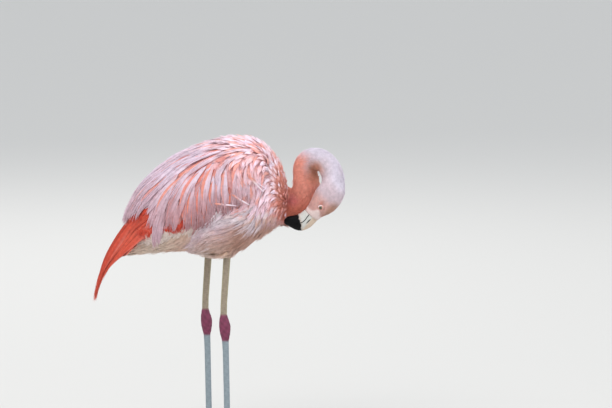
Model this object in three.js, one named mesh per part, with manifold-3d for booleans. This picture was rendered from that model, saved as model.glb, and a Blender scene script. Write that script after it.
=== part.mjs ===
// A life-size Chilean flamingo that stands on both legs and preens the right side of its breast.
// Millimetres, +Z up. The bird faces +X, so its right side is towards -Y. The origin is on the
// floor, under the middle of the bird's own box. Every piece is a closed solid of its own, and
// touching pieces keep a small gap.
import * as THREE from "three";
import { mergeVertices } from "three/addons/utils/BufferGeometryUtils.js";
import Module from "manifold-3d";

const wasm = await Module();
wasm.setup();

// ---------------------------------------------------------------- driving dimensions
const GAP = 0.3; // between touching pieces
const WELD = 0.03; // points closer than this become one
const CUT_SIZE = 2000; // side of the blocks that trim a solid

const STANCE = 34; // half the distance between the two legs
const ANKLE_HEIGHT = 274;
const STEP_FORWARD = { right: 9, left: -27 }; // how far ahead of the origin each ankle is
const TARSUS_LEAN = 5; // how far ahead of its ankle each foot stands
const TARSUS = { half: 4.7, depth: 6 };
const ANKLE = { half: 9.5, depth: 11, length: 50 };
const SHANK = { half: 5, depth: 6.4, top: 440 };
const SOLE_HEIGHT = 17; // from the floor to the start of the tarsus

const TOE_LENGTH = { inner: 62, middle: 80, outer: 70 };
const TOE_SPREAD = { inner: -27, middle: 0, outer: 27 }; // degrees from straight ahead
const TOE_RADIUS = 5;
const WEB_THICKNESS = 2.2;
const WEB_LIFT = 0.8; // the webs hang between the toes, just off the floor
const CLAW_LENGTH = 9;
const HALLUX_LENGTH = 17;

const HEAD_TURN = THREE.MathUtils.degToRad(130); // from facing ahead to facing down and back
const HEAD_YAW = THREE.MathUtils.degToRad(-12); // the bill points in towards the breast
const GAPE = new THREE.Vector3(170, -43, 491.5); // corner of the mouth
const EYE = { radius: 5.6, back: 20.5, height: 9, out: 13.6 };

// ---------------------------------------------------------------- materials
const finish = (color, roughness, metalness = 0) =>
  new THREE.MeshStandardMaterial({ color, roughness, metalness });
const BODY_PINK = finish(0xe9bdb8, 0.85);
const WING_PINK = finish(0xe8a99f, 0.8);
const PLUME_CORAL = finish(0xdc5f47, 0.75);
const NECK_SALMON = finish(0xd98c7c, 0.9);
const HEAD_PINK = finish(0xe3c0c0, 0.9);
const TAIL_WHITE = finish(0xe8d8cf, 0.85);
const BILL_PALE = finish(0xe4dccd, 0.45);
const BILL_DARK = finish(0x17161c, 0.35);
const EYE_YELLOW = finish(0xd9c777, 0.15);
const LEG_GREY = finish(0x9ba39a, 0.6);
const SHANK_OLIVE = finish(0xa9a47c, 0.6);
const ANKLE_CRIMSON = finish(0xa8435c, 0.6);
const FOOT_PINK = finish(0xb0697a, 0.65);
const CLAW_BLACK = finish(0x2a2626, 0.4);

// ---------------------------------------------------------------- solids
// A closed solid from a geometry, with its faces turned outwards.
function solidOf(geometry) {
  const bare = geometry.index ? geometry.clone() : mergeVertices(geometry.clone());
  bare.deleteAttribute("normal");
  bare.deleteAttribute("uv");
  const merged = mergeVertices(bare, 1e-3);
  const vertProperties = new Float32Array(merged.attributes.position.array);
  const made = (triVerts) =>
    new wasm.Manifold(new wasm.Mesh({ numProp: 3, vertProperties, triVerts }));
  const corners = withoutSlivers(merged.index.array);
  const solid = made(corners);
  if (solid.volume() > 0) return solid;
  for (let i = 0; i < corners.length; i += 3) {
    [corners[i + 1], corners[i + 2]] = [corners[i + 2], corners[i + 1]];
  }
  return made(corners);
}

// The triangles whose three corners are still different points.
function withoutSlivers(index) {
  const kept = [];
  for (let i = 0; i < index.length; i += 3) {
    const [a, b, c] = [index[i], index[i + 1], index[i + 2]];
    if (a !== b && b !== c && c !== a) kept.push(a, b, c);
  }
  return new Uint32Array(kept);
}

function geometryOf(solid) {
  const mesh = solid.getMesh();
  const points = new Float32Array(mesh.numVert * 3);
  for (let i = 0; i < mesh.numVert; i++) {
    points.set(mesh.vertProperties.subarray(i * mesh.numProp, i * mesh.numProp + 3), i * 3);
  }
  const geometry = new THREE.BufferGeometry();
  geometry.setAttribute("position", new THREE.BufferAttribute(points, 3));
  geometry.setIndex(new THREE.BufferAttribute(new Uint32Array(mesh.triVerts), 1));
  const welded = mergeVertices(geometry, WELD);
  welded.setIndex(new THREE.BufferAttribute(withoutSlivers(welded.index.array), 1));
  welded.computeVertexNormals();
  return welded;
}

// A solid moved, turned or mirrored by a matrix.
function moved(solid, matrix) {
  return solidOf(geometryOf(solid).applyMatrix4(matrix));
}

// The largest single body of a solid, so that a cut leaves no crumbs.
function mainBody(solid) {
  return solid.decompose().sort((a, b) => b.volume() - a.volume())[0];
}

function block(width, depth, height, x, y, z) {
  return solidOf(new THREE.BoxGeometry(width, depth, height).translate(x, y, z));
}

// ---------------------------------------------------------------- lofts
const bulge = (value, power) => Math.sign(value) * Math.abs(value) ** (2 / power);

// One closed section: half is its half width, rise and fall are its heights above and below the
// middle, and power squares it off (2 is an ellipse).
function section(middle, across, up, size, sides) {
  const { half, rise, fall, upper = 2, lower = 2 } = size;
  return Array.from({ length: sides }, (_, i) => {
    const angle = (2 * Math.PI * i) / sides;
    const [c, s] = [Math.cos(angle), Math.sin(angle)];
    const power = s < 0 ? lower : upper;
    return middle
      .clone()
      .addScaledVector(across, half * bulge(c, power))
      .addScaledVector(up, bulge(s, power) * (s < 0 ? fall : rise));
  });
}

// Sections joined into a solid, with the middle of the first and last as its ends.
function skinOver(sections) {
  const sides = sections[0].length;
  const geometry = new THREE.SphereGeometry(1, sides, sections.length + 1);
  const points = geometry.attributes.position;
  const middle = (ring) =>
    ring.reduce((sum, p) => sum.add(p), new THREE.Vector3()).divideScalar(sides);
  const rows = [
    Array(sides).fill(middle(sections[0])),
    ...sections,
    Array(sides).fill(middle(sections.at(-1))),
  ];
  rows.forEach((row, j) => {
    for (let i = 0; i <= sides; i++) {
      const p = row[i % sides];
      points.setXYZ(j * (sides + 1) + i, p.x, p.y, p.z);
    }
  });
  return solidOf(geometry);
}

// A smooth curve through one number of each station, read with t from 0 to 1.
function through(stations, read) {
  const curve = new THREE.CatmullRomCurve3(
    stations.map((s) => new THREE.Vector3(...read(s))),
    false,
    "catmullrom",
    0.5,
  );
  return (t) => curve.getPoint(t);
}

// A body whose sections stand upright across X. Each station is [x, top, bottom, half width].
function uprightLoft(stations, { sides, rows, grow = 0, upper = 2, lower = 2, level = 0.5 }) {
  const outline = through(stations, ([x, top, bottom]) => [x, top, bottom]);
  const width = through(stations, ([, , , half]) => [half, 0, 0]);
  const sections = Array.from({ length: rows }, (_, k) => {
    const t = k / (rows - 1);
    const { x, y: top, z: bottom } = outline(t);
    const z = bottom + (top - bottom) * level;
    return section(
      new THREE.Vector3(x, 0, z),
      new THREE.Vector3(0, 1, 0),
      new THREE.Vector3(0, 0, 1),
      { half: width(t).x + grow, rise: top - z + grow, fall: z - bottom + grow, upper, lower },
      sides,
    );
  });
  return skinOver(sections);
}

// A tube along a path in space. Each station is {at: [x, y, z], half, rise, fall}; the sections
// keep their width across the plane of the bend.
function bentLoft(stations, { sides, rows, grow = 0, from = 0, to = 1, across, flatEnds = false }) {
  const path = through(stations, (s) => s.at);
  const sizes = through(stations, (s) => [s.half, s.rise, s.fall]);
  const step = 1e-3;
  return skinOver(
    Array.from({ length: rows }, (_, k) => {
      const t = from + ((to - from) * k) / (rows - 1);
      const ahead = path(Math.min(1, t + step)).sub(path(Math.max(0, t - step))).normalize();
      const side = across.clone().addScaledVector(ahead, -across.dot(ahead)).normalize();
      const up = new THREE.Vector3().crossVectors(ahead, side);
      const { x: half, y: rise, z: fall } = sizes(t);
      const extra = flatEnds && (k === 0 || k === rows - 1) ? 0 : grow;
      const size = { half: half + extra, rise: rise + extra, fall: fall + extra };
      return section(path(t), side, up, size, sides);
    }),
  );
}

// ---------------------------------------------------------------- trunk, wings and tail
// Breast, belly, rump and the white cone under the tail.
const TRUNK = [
  [-186, 412, 401, 6],
  [-164, 438, 402, 21],
  [-130, 482, 404, 37],
  [-96, 538, 408, 53],
  [-62, 578, 409, 67],
  [-30, 601, 402, 77],
  [5, 612, 399, 83],
  [39, 616, 411, 83],
  [66, 616, 428, 79],
  [84, 610, 440, 71],
  [98, 601, 449, 61],
  [109, 589, 456, 51],
  [118, 568, 464, 40],
  [125, 550, 474, 29],
  [130, 533, 487, 17],
];
const trunkShape = (grow = 0) =>
  uprightLoft(TRUNK, { sides: 24, rows: 17, grow, upper: 2.1, lower: 2.2 });

// Both folded wings and the long shoulder plumes over them: one cape over the back.
const CAPE = [
  [98, 599, 560, 44],
  [88, 612, 540, 68],
  [68, 623, 514, 86],
  [40, 627, 494, 96],
  [6, 626, 478, 100],
  [-28, 618, 462, 99],
  [-62, 605, 447, 94],
  [-96, 586, 430, 85],
  [-126, 562, 424, 72],
  [-148, 540, 430, 61],
  [-164, 514, 440, 47],
  [-175, 491, 450, 31],
  [-181, 472, 456, 12],
];
const capeShape = (grow = 0) =>
  uprightLoft(CAPE, { sides: 26, rows: 17, grow, upper: 2.25, lower: 3.4, level: 0.42 });

// The long coral plumes that hang behind the wing, to the lowest feather tip.
const plumeStations = (side) => [
  { at: [-66, side * 36, 546], half: 16, rise: 8, fall: 8 },
  { at: [-98, side * 33, 514], half: 22, rise: 18, fall: 18 },
  { at: [-130, side * 29, 482], half: 24, rise: 25, fall: 24 },
  { at: [-158, side * 25, 453], half: 22, rise: 26, fall: 20 },
  { at: [-184, side * 21.5, 425], half: 17.5, rise: 18, fall: 11.5 },
  { at: [-202, side * 18.5, 397], half: 14, rise: 11, fall: 10 },
  { at: [-216, side * 16, 369], half: 10.5, rise: 7.5, fall: 7.5 },
  { at: [-225.5, side * 14, 345], half: 7, rise: 5, fall: 5 },
  { at: [-231, side * 13, 329], half: 3.5, rise: 2.7, fall: 2.7 },
  { at: [-233, side * 12.5, 321], half: 1, rise: 1, fall: 1 },
];
const plumeShape = (side, grow = 0) =>
  bentLoft(plumeStations(side), {
    sides: 9,
    rows: 11,
    grow,
    across: new THREE.Vector3(0, 1, 0),
  });

// The tail feathers: a flat wedge below the cone under the tail.
const TAIL = [
  { at: [-128, 0, 448], half: 20, rise: 6, fall: 6 },
  { at: [-160, 0, 424], half: 30, rise: 6, fall: 6 },
  { at: [-188, 0, 398], half: 33, rise: 4.5, fall: 4.5 },
  { at: [-206, 0, 380], half: 26, rise: 3, fall: 3 },
  { at: [-214, 0, 372], half: 14, rise: 1.5, fall: 1.5 },
];
const tailShape = (grow = 0) =>
  bentLoft(TAIL, { sides: 12, rows: 7, grow, across: new THREE.Vector3(0, 1, 0) });

// ---------------------------------------------------------------- neck
// From the front of the breast up, over in a hook and down to the back of the head.
const NECK = [
  { at: [112, 0, 480], half: 22, rise: 24, fall: 22 },
  { at: [128, 0, 478], half: 23, rise: 26, fall: 22 },
  { at: [146, 1, 486], half: 23.5, rise: 29, fall: 22 },
  { at: [158, 2, 503], half: 23.5, rise: 29, fall: 23 },
  { at: [162, 3, 523], half: 23.5, rise: 28, fall: 24 },
  { at: [160.5, 4, 545], half: 23, rise: 26, fall: 24.5 },
  { at: [158, 4, 564], half: 21.5, rise: 24, fall: 21 },
  { at: [162.5, 2, 580], half: 20, rise: 21.5, fall: 18.5 },
  { at: [176, -3, 586.5], half: 18.5, rise: 19.5, fall: 19.5 },
  { at: [190.5, -11, 582.5], half: 19, rise: 20, fall: 20 },
  { at: [202, -21, 570.5], half: 19.5, rise: 21, fall: 21 },
  { at: [208.5, -31, 554.5], half: 20, rise: 21.5, fall: 21.5 },
  { at: [210.5, -39, 538], half: 20, rise: 22, fall: 22 },
  { at: [208.5, -44, 522], half: 19, rise: 21.5, fall: 21.5 },
];
const NECK_LENGTHS = {
  neck_base: [0, 0.31],
  neck_rise: [0.31, 0.44],
  neck_arch: [0.44, 0.72],
  neck_drop: [0.72, 1],
};
const NECK_SHARE_GAP = 0.0008; // the gap between two lengths, as a share of the whole path
const neckShape = (from, to, rows, grow = 0) =>
  bentLoft(NECK, {
    sides: 16,
    rows,
    from,
    to,
    grow,
    flatEnds: true,
    across: new THREE.Vector3(0, 1, 0),
  });

// ---------------------------------------------------------------- head and bill, in the head's frame
// +X runs forward from the corner of the mouth and +Z up to the crown.
const HEAD = [
  { at: [-72, 0, 4], half: 17, rise: 18, fall: 20 },
  { at: [-64, 0, 4.5], half: 19.5, rise: 24, fall: 24 },
  { at: [-52, 0, 4.5], half: 20, rise: 27, fall: 26 },
  { at: [-40, 0, 4.5], half: 19.8, rise: 27, fall: 26 },
  { at: [-27, 0, 5], half: 19, rise: 26, fall: 24 },
  { at: [-14, 0, 4.2], half: 16.8, rise: 21, fall: 20 },
  { at: [-3, 0, 3.3], half: 13.8, rise: 16.5, fall: 16.3 },
  { at: [3, 0, 3.2], half: 12.6, rise: 15.8, fall: 15.4 },
];
// The line between the two halves of the bill, with each half's depth and half width beside it.
const BILL = [
  { at: [4.6, 0, 0.2], upper: 17.6, lower: 12.4, half: 12.2 },
  { at: [13, 0, 0.5], upper: 17.3, lower: 14.1, half: 11.9 },
  { at: [19.5, 0, 0.9], upper: 16.4, lower: 16.4, half: 11.5 },
  { at: [25.3, 0, -0.5], upper: 15.5, lower: 17, half: 11.1 },
  { at: [30.8, 0, -4.1], upper: 15.4, lower: 16, half: 10.6 },
  { at: [35.8, 0, -8.9], upper: 13.4, lower: 14.6, half: 9.8 },
  { at: [40.3, 0, -14.1], upper: 10, lower: 13.7, half: 8.6 },
  { at: [44.3, 0, -19.1], upper: 6.7, lower: 12.4, half: 7 },
  { at: [47.6, 0, -23.3], upper: 3.9, lower: 9.8, half: 5.2 },
  { at: [49.8, 0, -26.3], upper: 1.6, lower: 5, half: 3 },
];
const BILL_GAP = 0.35; // between the two halves
const POCKET_GAP = 1; // around the tip of the bill, in the breast
const UPPER_NARROWING = 0.86; // the upper half is a narrower lid on the lower one

function billShape(isUpper, grow = 0) {
  const shift = isUpper ? BILL_GAP / 2 : -BILL_GAP / 2;
  const path = through(BILL, (s) => s.at);
  const sizes = through(BILL, (s) => [s.half, s.upper, s.lower]);
  const rows = 13;
  const side = new THREE.Vector3(0, 1, 0);
  const step = 1e-3;
  return skinOver(
    Array.from({ length: rows }, (_, k) => {
      const t = k / (rows - 1);
      const ahead = path(Math.min(1, t + step)).sub(path(Math.max(0, t - step))).normalize();
      const up = new THREE.Vector3().crossVectors(ahead, side);
      const { x: half, y: upper, z: lower } = sizes(t);
      const size = isUpper
        ? { half: half * UPPER_NARROWING + grow, rise: upper + grow, fall: grow, upper: 1.75 }
        : { half: half + grow, rise: grow, fall: lower + grow, lower: 2.5 };
      return section(path(t).addScaledVector(up, shift), side, up, size, 12);
    }),
  );
}

const headShape = (grow = 0) =>
  bentLoft(HEAD, {
    sides: 16,
    rows: 10,
    grow,
    across: new THREE.Vector3(0, 1, 0),
  });

function eyeball(side, grow = 0) {
  const ball = new THREE.SphereGeometry(EYE.radius + grow, 10, 6);
  return solidOf(ball.translate(-EYE.back, side * EYE.out, EYE.height));
}

// ---------------------------------------------------------------- legs and feet
const thighStations = (side, x) => [
  { at: [x - 14, side * 33, 446], half: 10, rise: 14, fall: 14 },
  { at: [x - 8, side * 34, 428], half: 17, rise: 23, fall: 23 },
  { at: [x - 2, side * 34.5, 412], half: 15, rise: 17.5, fall: 17.5 },
  { at: [x + 2, side * STANCE, 402], half: 10.5, rise: 12, fall: 12 },
  { at: [x + 3, side * STANCE, 396], half: 7.4, rise: 9, fall: 9 },
];
const thighShape = (side, x, grow = 0) =>
  bentLoft(thighStations(side, x), {
    sides: 12,
    rows: 8,
    grow,
    across: new THREE.Vector3(0, 1, 0),
  });

// A limb whose sections lie level. Each station is [x, z, half width, half depth].
function limb(stations, y, { sides = 10, rows = 5 } = {}) {
  const line = through(stations, ([x, z]) => [x, y, z]);
  const size = through(stations, ([, , half, depth]) => [half, depth, 0]);
  const across = new THREE.Vector3(0, 1, 0);
  const forward = new THREE.Vector3(1, 0, 0);
  return skinOver(
    Array.from({ length: rows }, (_, k) => {
      const t = k / (rows - 1);
      const { x: half, y: depth } = size(t);
      return section(line(t), across, forward, { half, rise: depth, fall: depth }, sides);
    }),
  );
}

function legPieces(side, x) {
  const low = ANKLE_HEIGHT - ANKLE.length / 2;
  const high = ANKLE_HEIGHT + ANKLE.length / 2;
  const y = side * STANCE;
  const foot = x + TARSUS_LEAN;
  const shank = limb(
    [
      [x + 6, SHANK.top, SHANK.half + 1, SHANK.depth + 1],
      [x + 4, 396, SHANK.half + 0.6, SHANK.depth + 0.6],
      [x - 1, 330, SHANK.half, SHANK.depth],
      [x - 2, high + GAP, SHANK.half, SHANK.depth],
    ],
    y,
  );
  const ankle = limb(
    [
      [x - 2, high, SHANK.half, SHANK.depth],
      [x - 1.5, high - 9, 7.4, 8.6],
      [x, ANKLE_HEIGHT + 5, ANKLE.half, ANKLE.depth],
      [x + 0.5, ANKLE_HEIGHT - 9, ANKLE.half - 0.6, ANKLE.depth - 0.8],
      [x + 1, low + 5, 6.4, 7.6],
      [x + 1, low, 5.2, 6.6],
    ],
    y,
    { sides: 10, rows: 8 },
  );
  const tarsus = limb(
    [
      [x + 1, low - GAP, 5.2, 6.6],
      [x + 2, low - 30, TARSUS.half, TARSUS.depth],
      [x + 3.5, 130, TARSUS.half, TARSUS.depth],
      [foot, 40, TARSUS.half + 0.4, TARSUS.depth],
      [foot, SOLE_HEIGHT, 6, 7],
    ],
    y,
    { rows: 6 },
  );
  return { shank, ankle, tarsus };
}

// A level section with a flat underside on the floor and a rounded back.
function padSection(middle, across, half, height) {
  const outline = [
    [-0.86, 0],
    [0.86, 0],
    [1, 0.42],
    [0.72, 0.84],
    [0, 1],
    [-0.72, 0.84],
    [-1, 0.42],
  ];
  return outline.map(([u, v]) =>
    middle.clone().addScaledVector(across, u * half).setZ(v * height),
  );
}

// A toe from the foot's middle: three soft pads on a tapering rod.
function toe(length, degrees) {
  const turn = THREE.MathUtils.degToRad(degrees);
  const ahead = new THREE.Vector3(Math.cos(turn), Math.sin(turn), 0);
  const across = new THREE.Vector3(-ahead.y, ahead.x, 0);
  const rows = 8;
  return skinOver(
    Array.from({ length: rows }, (_, k) => {
      const t = k / (rows - 1);
      const pad = 1 + 0.12 * Math.cos(t * 6 * Math.PI);
      const r = TOE_RADIUS * (1 - 0.45 * t) * pad * (k === rows - 1 ? 0.6 : 1);
      return padSection(ahead.clone().multiplyScalar(length * t), across, r, r * 1.7 + 3 * (1 - t) ** 3);
    }),
  );
}

// The web between two toes, with its front edge curved back.
function web(fromName, toName) {
  const tip = (name, share) => {
    const turn = THREE.MathUtils.degToRad(TOE_SPREAD[name]);
    const reach = TOE_LENGTH[name] * share;
    return new THREE.Vector2(Math.cos(turn) * reach, Math.sin(turn) * reach);
  };
  const [a, b] = [tip(fromName, 0.93), tip(toName, 0.93)];
  const back = tip(fromName, 0.66).add(tip(toName, 0.66)).multiplyScalar(0.5);
  const outline = new THREE.Shape();
  outline.moveTo(0, 0);
  outline.lineTo(a.x, a.y);
  outline.quadraticCurveTo(back.x, back.y, b.x, b.y);
  outline.closePath();
  const sheet = new THREE.ExtrudeGeometry(outline, {
    depth: WEB_THICKNESS,
    bevelEnabled: false,
    curveSegments: 5,
  });
  return solidOf(sheet.translate(0, 0, WEB_LIFT));
}

function footShape() {
  const palm = skinOver(
    [0, 0.5, 1].map((t) =>
      section(
        new THREE.Vector3(-1 + 3 * t, 0, (SOLE_HEIGHT - GAP) * (1 - t)),
        new THREE.Vector3(0, 1, 0),
        new THREE.Vector3(1, 0, 0),
        { half: 6 + 3.4 * t, rise: 7 + 5 * t, fall: 7 + 1.5 * t },
        10,
      ),
    ),
  );
  const toes = Object.keys(TOE_LENGTH).map((name) => toe(TOE_LENGTH[name], TOE_SPREAD[name]));
  const webs = [web("inner", "middle"), web("middle", "outer")];
  return mainBody([...toes, ...webs].reduce((sum, piece) => sum.add(piece), palm));
}

// A short hooked claw with a flat underside, just past the tip of its toe.
function clawShape(reach, degrees, grow = 0) {
  const turn = THREE.MathUtils.degToRad(degrees);
  const ahead = new THREE.Vector3(Math.cos(turn), Math.sin(turn), 0);
  const across = new THREE.Vector3(-ahead.y, ahead.x, 0);
  const rows = 4;
  const claw = skinOver(
    Array.from({ length: rows }, (_, k) => {
      const t = k / (rows - 1);
      const middle = ahead.clone().multiplyScalar(reach + (CLAW_LENGTH + grow) * t - grow * (1 - t));
      middle.z = 2.6 - 1.6 * t * t;
      const r = 2.3 * (1 - t) + 0.5 + grow;
      return section(middle, across, new THREE.Vector3(0, 0, 1), { half: r, rise: r, fall: r }, 8);
    }),
  );
  return mainBody(claw.intersect(block(CUT_SIZE, CUT_SIZE, 40, 0, 0, 20)));
}

// The small hind toe, high on the back of the foot, with its tip on the floor.
function halluxShape(grow = 0) {
  const rows = 6;
  const rod = skinOver(
    Array.from({ length: rows }, (_, k) => {
      const t = k / (rows - 1);
      const r = 3.1 - 1.1 * t + grow;
      const middle = new THREE.Vector3(-6 + grow - HALLUX_LENGTH * t, 0, 12.5 - 10 * t * t - 1.2 * t);
      const size = { half: r, rise: r, fall: r };
      return section(middle, new THREE.Vector3(0, 1, 0), new THREE.Vector3(0, 0, 1), size, 10);
    }),
  );
  return rod.intersect(block(CUT_SIZE, CUT_SIZE, 60, 0, 0, 30));
}

// ---------------------------------------------------------------- the bird
const bird = new THREE.Group();

function add(group, name, solid, material) {
  const mesh = new THREE.Mesh(geometryOf(mainBody(solid)), material);
  mesh.name = name;
  group.add(mesh);
  return mesh;
}

const SIDES = { right: -1, left: 1 };
const trunkSolid = trunkShape();
const trunkGrown = trunkShape(GAP);

const headTurn = new THREE.Quaternion()
  .setFromAxisAngle(new THREE.Vector3(0, 0, 1), HEAD_YAW)
  .multiply(new THREE.Quaternion().setFromAxisAngle(new THREE.Vector3(0, 1, 0), HEAD_TURN));
const headFrame = new THREE.Matrix4().compose(GAPE, headTurn, new THREE.Vector3(1, 1, 1));
const headBack = new THREE.Matrix4().makeTranslation(-2 * GAP, 0, 0);
const headRoom = moved(headShape(GAP).add(moved(headShape(GAP), headBack)), headFrame);

// Legs are made first, so that the feathered thighs can be cut around the bare shanks.
const legs = {};
for (const [name, side] of Object.entries(SIDES)) {
  legs[name] = legPieces(side, STEP_FORWARD[name]);
}
const legHoles = Object.entries(SIDES).map(([name, side]) => {
  const x = STEP_FORWARD[name];
  const wide = limb(
    [
      [x + 6, SHANK.top + 1, SHANK.half + 1.4, SHANK.depth + 1.4],
      [x + 4, 396, SHANK.half + 1, SHANK.depth + 1],
      [x - 1, 330, SHANK.half + 0.4, SHANK.depth + 0.4],
    ],
    side * STANCE,
  );
  return wide;
});
const withoutLegs = (solid) => legHoles.reduce((left, hole) => left.subtract(hole), solid);

const thighs = Object.fromEntries(
  Object.entries(SIDES).map(([name, side]) => [name, thighShape(side, STEP_FORWARD[name])]),
);
// The tip of the bill is pushed a little way into the breast, into a pocket of its own shape.
const bothBills = billShape(true, POCKET_GAP).add(billShape(false, POCKET_GAP));
const tipward = new THREE.Matrix4().makeTranslation(POCKET_GAP, 0, -POCKET_GAP);
const billPocket = moved(bothBills.add(moved(bothBills, tipward)), headFrame);
add(bird, "trunk", withoutLegs(trunkSolid).subtract(billPocket), BODY_PINK);
for (const [name, side] of Object.entries(SIDES)) {
  const half = block(CUT_SIZE, CUT_SIZE, CUT_SIZE, 0, side * (CUT_SIZE / 2 + GAP / 2), 0);
  const wing = capeShape().subtract(trunkGrown).intersect(half);
  add(bird, `wing_${name}`, wing, WING_PINK);
  const plume = plumeShape(side)
    .subtract(capeShape(GAP))
    .subtract(trunkGrown)
    .subtract(tailShape(2 * GAP));
  add(bird, `plume_${name}`, plume, PLUME_CORAL);
  const thigh = withoutLegs(thighs[name].subtract(trunkGrown)).subtract(capeShape(GAP));
  add(bird, `thigh_${name}`, thigh, BODY_PINK);
}
add(bird, "tail", tailShape().subtract(trunkGrown).subtract(capeShape(GAP)), TAIL_WHITE);

for (const [name, [from, to]] of Object.entries(NECK_LENGTHS)) {
  const rows = Math.round((to - from) * 28);
  let length = neckShape(from, to - (to < 1 ? NECK_SHARE_GAP * 2 : 0), rows);
  if (from === 0) length = length.subtract(trunkGrown);
  if (to === 1) length = length.subtract(headRoom);
  add(bird, name, length, to > 0.6 ? HEAD_PINK : NECK_SALMON);
}

const headGroup = new THREE.Group();
headGroup.position.copy(GAPE);
headGroup.quaternion.copy(headTurn);
bird.add(headGroup);
const sockets = Object.values(SIDES).map((side) => eyeball(side, GAP));
const billUpper = billShape(true);
const billLower = billShape(false);
add(
  headGroup,
  "head",
  sockets.reduce((left, socket) => left.subtract(socket), headShape()),
  HEAD_PINK,
);
add(headGroup, "bill_upper", billUpper, BILL_PALE);
add(headGroup, "bill_lower", billLower, BILL_DARK);
for (const [name, side] of Object.entries(SIDES)) {
  add(headGroup, `eye_${name}`, eyeball(side), EYE_YELLOW);
}

for (const [name, side] of Object.entries(SIDES)) {
  add(bird, `shank_${name}`, legs[name].shank, SHANK_OLIVE);
  add(bird, `ankle_${name}`, legs[name].ankle, ANKLE_CRIMSON);
  add(bird, `tarsus_${name}`, legs[name].tarsus, LEG_GREY);
  const footGroup = new THREE.Group();
  footGroup.position.set(STEP_FORWARD[name] + TARSUS_LEAN, side * STANCE, 0);
  bird.add(footGroup);
  const placed = (solid) => moved(solid, new THREE.Matrix4().makeScale(1, -side, 1));
  const foot = Object.entries(TOE_LENGTH).reduce(
    (left, [toeName, reach]) => left.subtract(clawShape(reach, TOE_SPREAD[toeName], 2 * GAP)),
    footShape().subtract(halluxShape(2 * GAP)),
  );
  add(footGroup, `foot_${name}`, placed(foot), FOOT_PINK);
  add(footGroup, `hallux_${name}`, placed(halluxShape()), FOOT_PINK);
  for (const [toeName, reach] of Object.entries(TOE_LENGTH)) {
    const claw = placed(clawShape(reach, TOE_SPREAD[toeName]));
    add(footGroup, `claw_${toeName}_${name}`, claw, CLAW_BLACK);
  }
}

// The origin goes under the middle of the bird's box.
const box = new THREE.Box3().setFromObject(bird, true);
const centre = box.getCenter(new THREE.Vector3());
bird.position.set(-centre.x, -centre.y, -box.min.z);

export default bird;
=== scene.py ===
import functools
import heapq
import math

import bmesh
import bpy
import numpy as np
from mathutils import Matrix, Vector
from mathutils.bvhtree import BVHTree


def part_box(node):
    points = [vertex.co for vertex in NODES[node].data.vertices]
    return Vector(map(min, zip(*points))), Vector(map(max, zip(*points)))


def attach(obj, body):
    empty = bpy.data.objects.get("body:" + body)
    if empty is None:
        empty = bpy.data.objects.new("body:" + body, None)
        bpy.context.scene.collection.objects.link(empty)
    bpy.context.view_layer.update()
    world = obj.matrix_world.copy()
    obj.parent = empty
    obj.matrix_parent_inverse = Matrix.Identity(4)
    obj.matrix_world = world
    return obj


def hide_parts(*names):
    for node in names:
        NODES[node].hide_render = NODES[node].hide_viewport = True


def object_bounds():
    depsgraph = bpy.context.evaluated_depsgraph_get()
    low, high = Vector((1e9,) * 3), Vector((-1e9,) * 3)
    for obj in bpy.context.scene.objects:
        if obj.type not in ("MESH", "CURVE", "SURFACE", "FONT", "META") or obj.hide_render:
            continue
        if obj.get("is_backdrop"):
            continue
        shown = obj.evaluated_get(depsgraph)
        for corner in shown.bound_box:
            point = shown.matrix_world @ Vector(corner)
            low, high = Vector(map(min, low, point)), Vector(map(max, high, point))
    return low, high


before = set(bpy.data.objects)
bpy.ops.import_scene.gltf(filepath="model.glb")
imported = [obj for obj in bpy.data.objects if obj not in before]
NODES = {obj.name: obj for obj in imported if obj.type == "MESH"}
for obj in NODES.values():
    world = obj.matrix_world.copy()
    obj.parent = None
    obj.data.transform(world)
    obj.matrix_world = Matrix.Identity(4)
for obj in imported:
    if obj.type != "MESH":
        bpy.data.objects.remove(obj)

bl_info = {
    "name": "Preening flamingo",
    "version": (1, 0, 0),
    "blender": (4, 5, 0),
    "location": "3D View > Sidebar > Flamingo",
    "description": "Skin, feathers, bill, eyes and legs of a life-size flamingo on its packed frame",
    "category": "Object",
}

# ------------------------------------------------------------------ driving values
# Metres, +Z up. The bird faces +X, so its right side is towards -Y.
CAD_BOX = [list(corner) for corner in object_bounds()]
SIDES = {"right": -1, "left": 1}
SEED = 21
MM = 0.001
DOWN = np.array((0.0, 0.0, -1.0))
BACK = np.array((-1.0, 0.0, 0.0))
LEFT = np.array((0.0, 1.0, 0.0))

HEAD_TILT = math.radians(130)  # from facing ahead to facing down and back
EYE_BEHIND_GAPE = 20.5 * MM
EYE_ABOVE_GAPE = 9 * MM

HIDE_VOXEL = 2.8 * MM
COAT_DEPTH = {  # from the outline of the coat down to the skin
    "trunk": 7 * MM,
    "wing": 9 * MM,
    "thigh": 5 * MM,
    "neck_base": 6 * MM,
    "neck_rise": 2.2 * MM,
    "neck_arch": 1.4 * MM,
    "neck_drop": 1.4 * MM,
    "head": 1.0 * MM,
}
NECK_END = 0.195  # where the neck meets the breast, measured over the skin from the bill
PATCH = 0.003  # side of a tuft's place on its map
MOST_TRIANGLES = 199_000  # in one piece
DRAWS = {  # each group of feathers has its own run of random numbers
    "head": 1, "neck": 2, "body": 3, "coverts_right": 5, "coverts_left": 6, "plumes_right": 7,
    "plumes_left": 8, "rear_right": 9, "rear_left": 10, "tail": 12, "shoulder_right": 13,
    "shoulder_left": 14,
}

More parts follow.
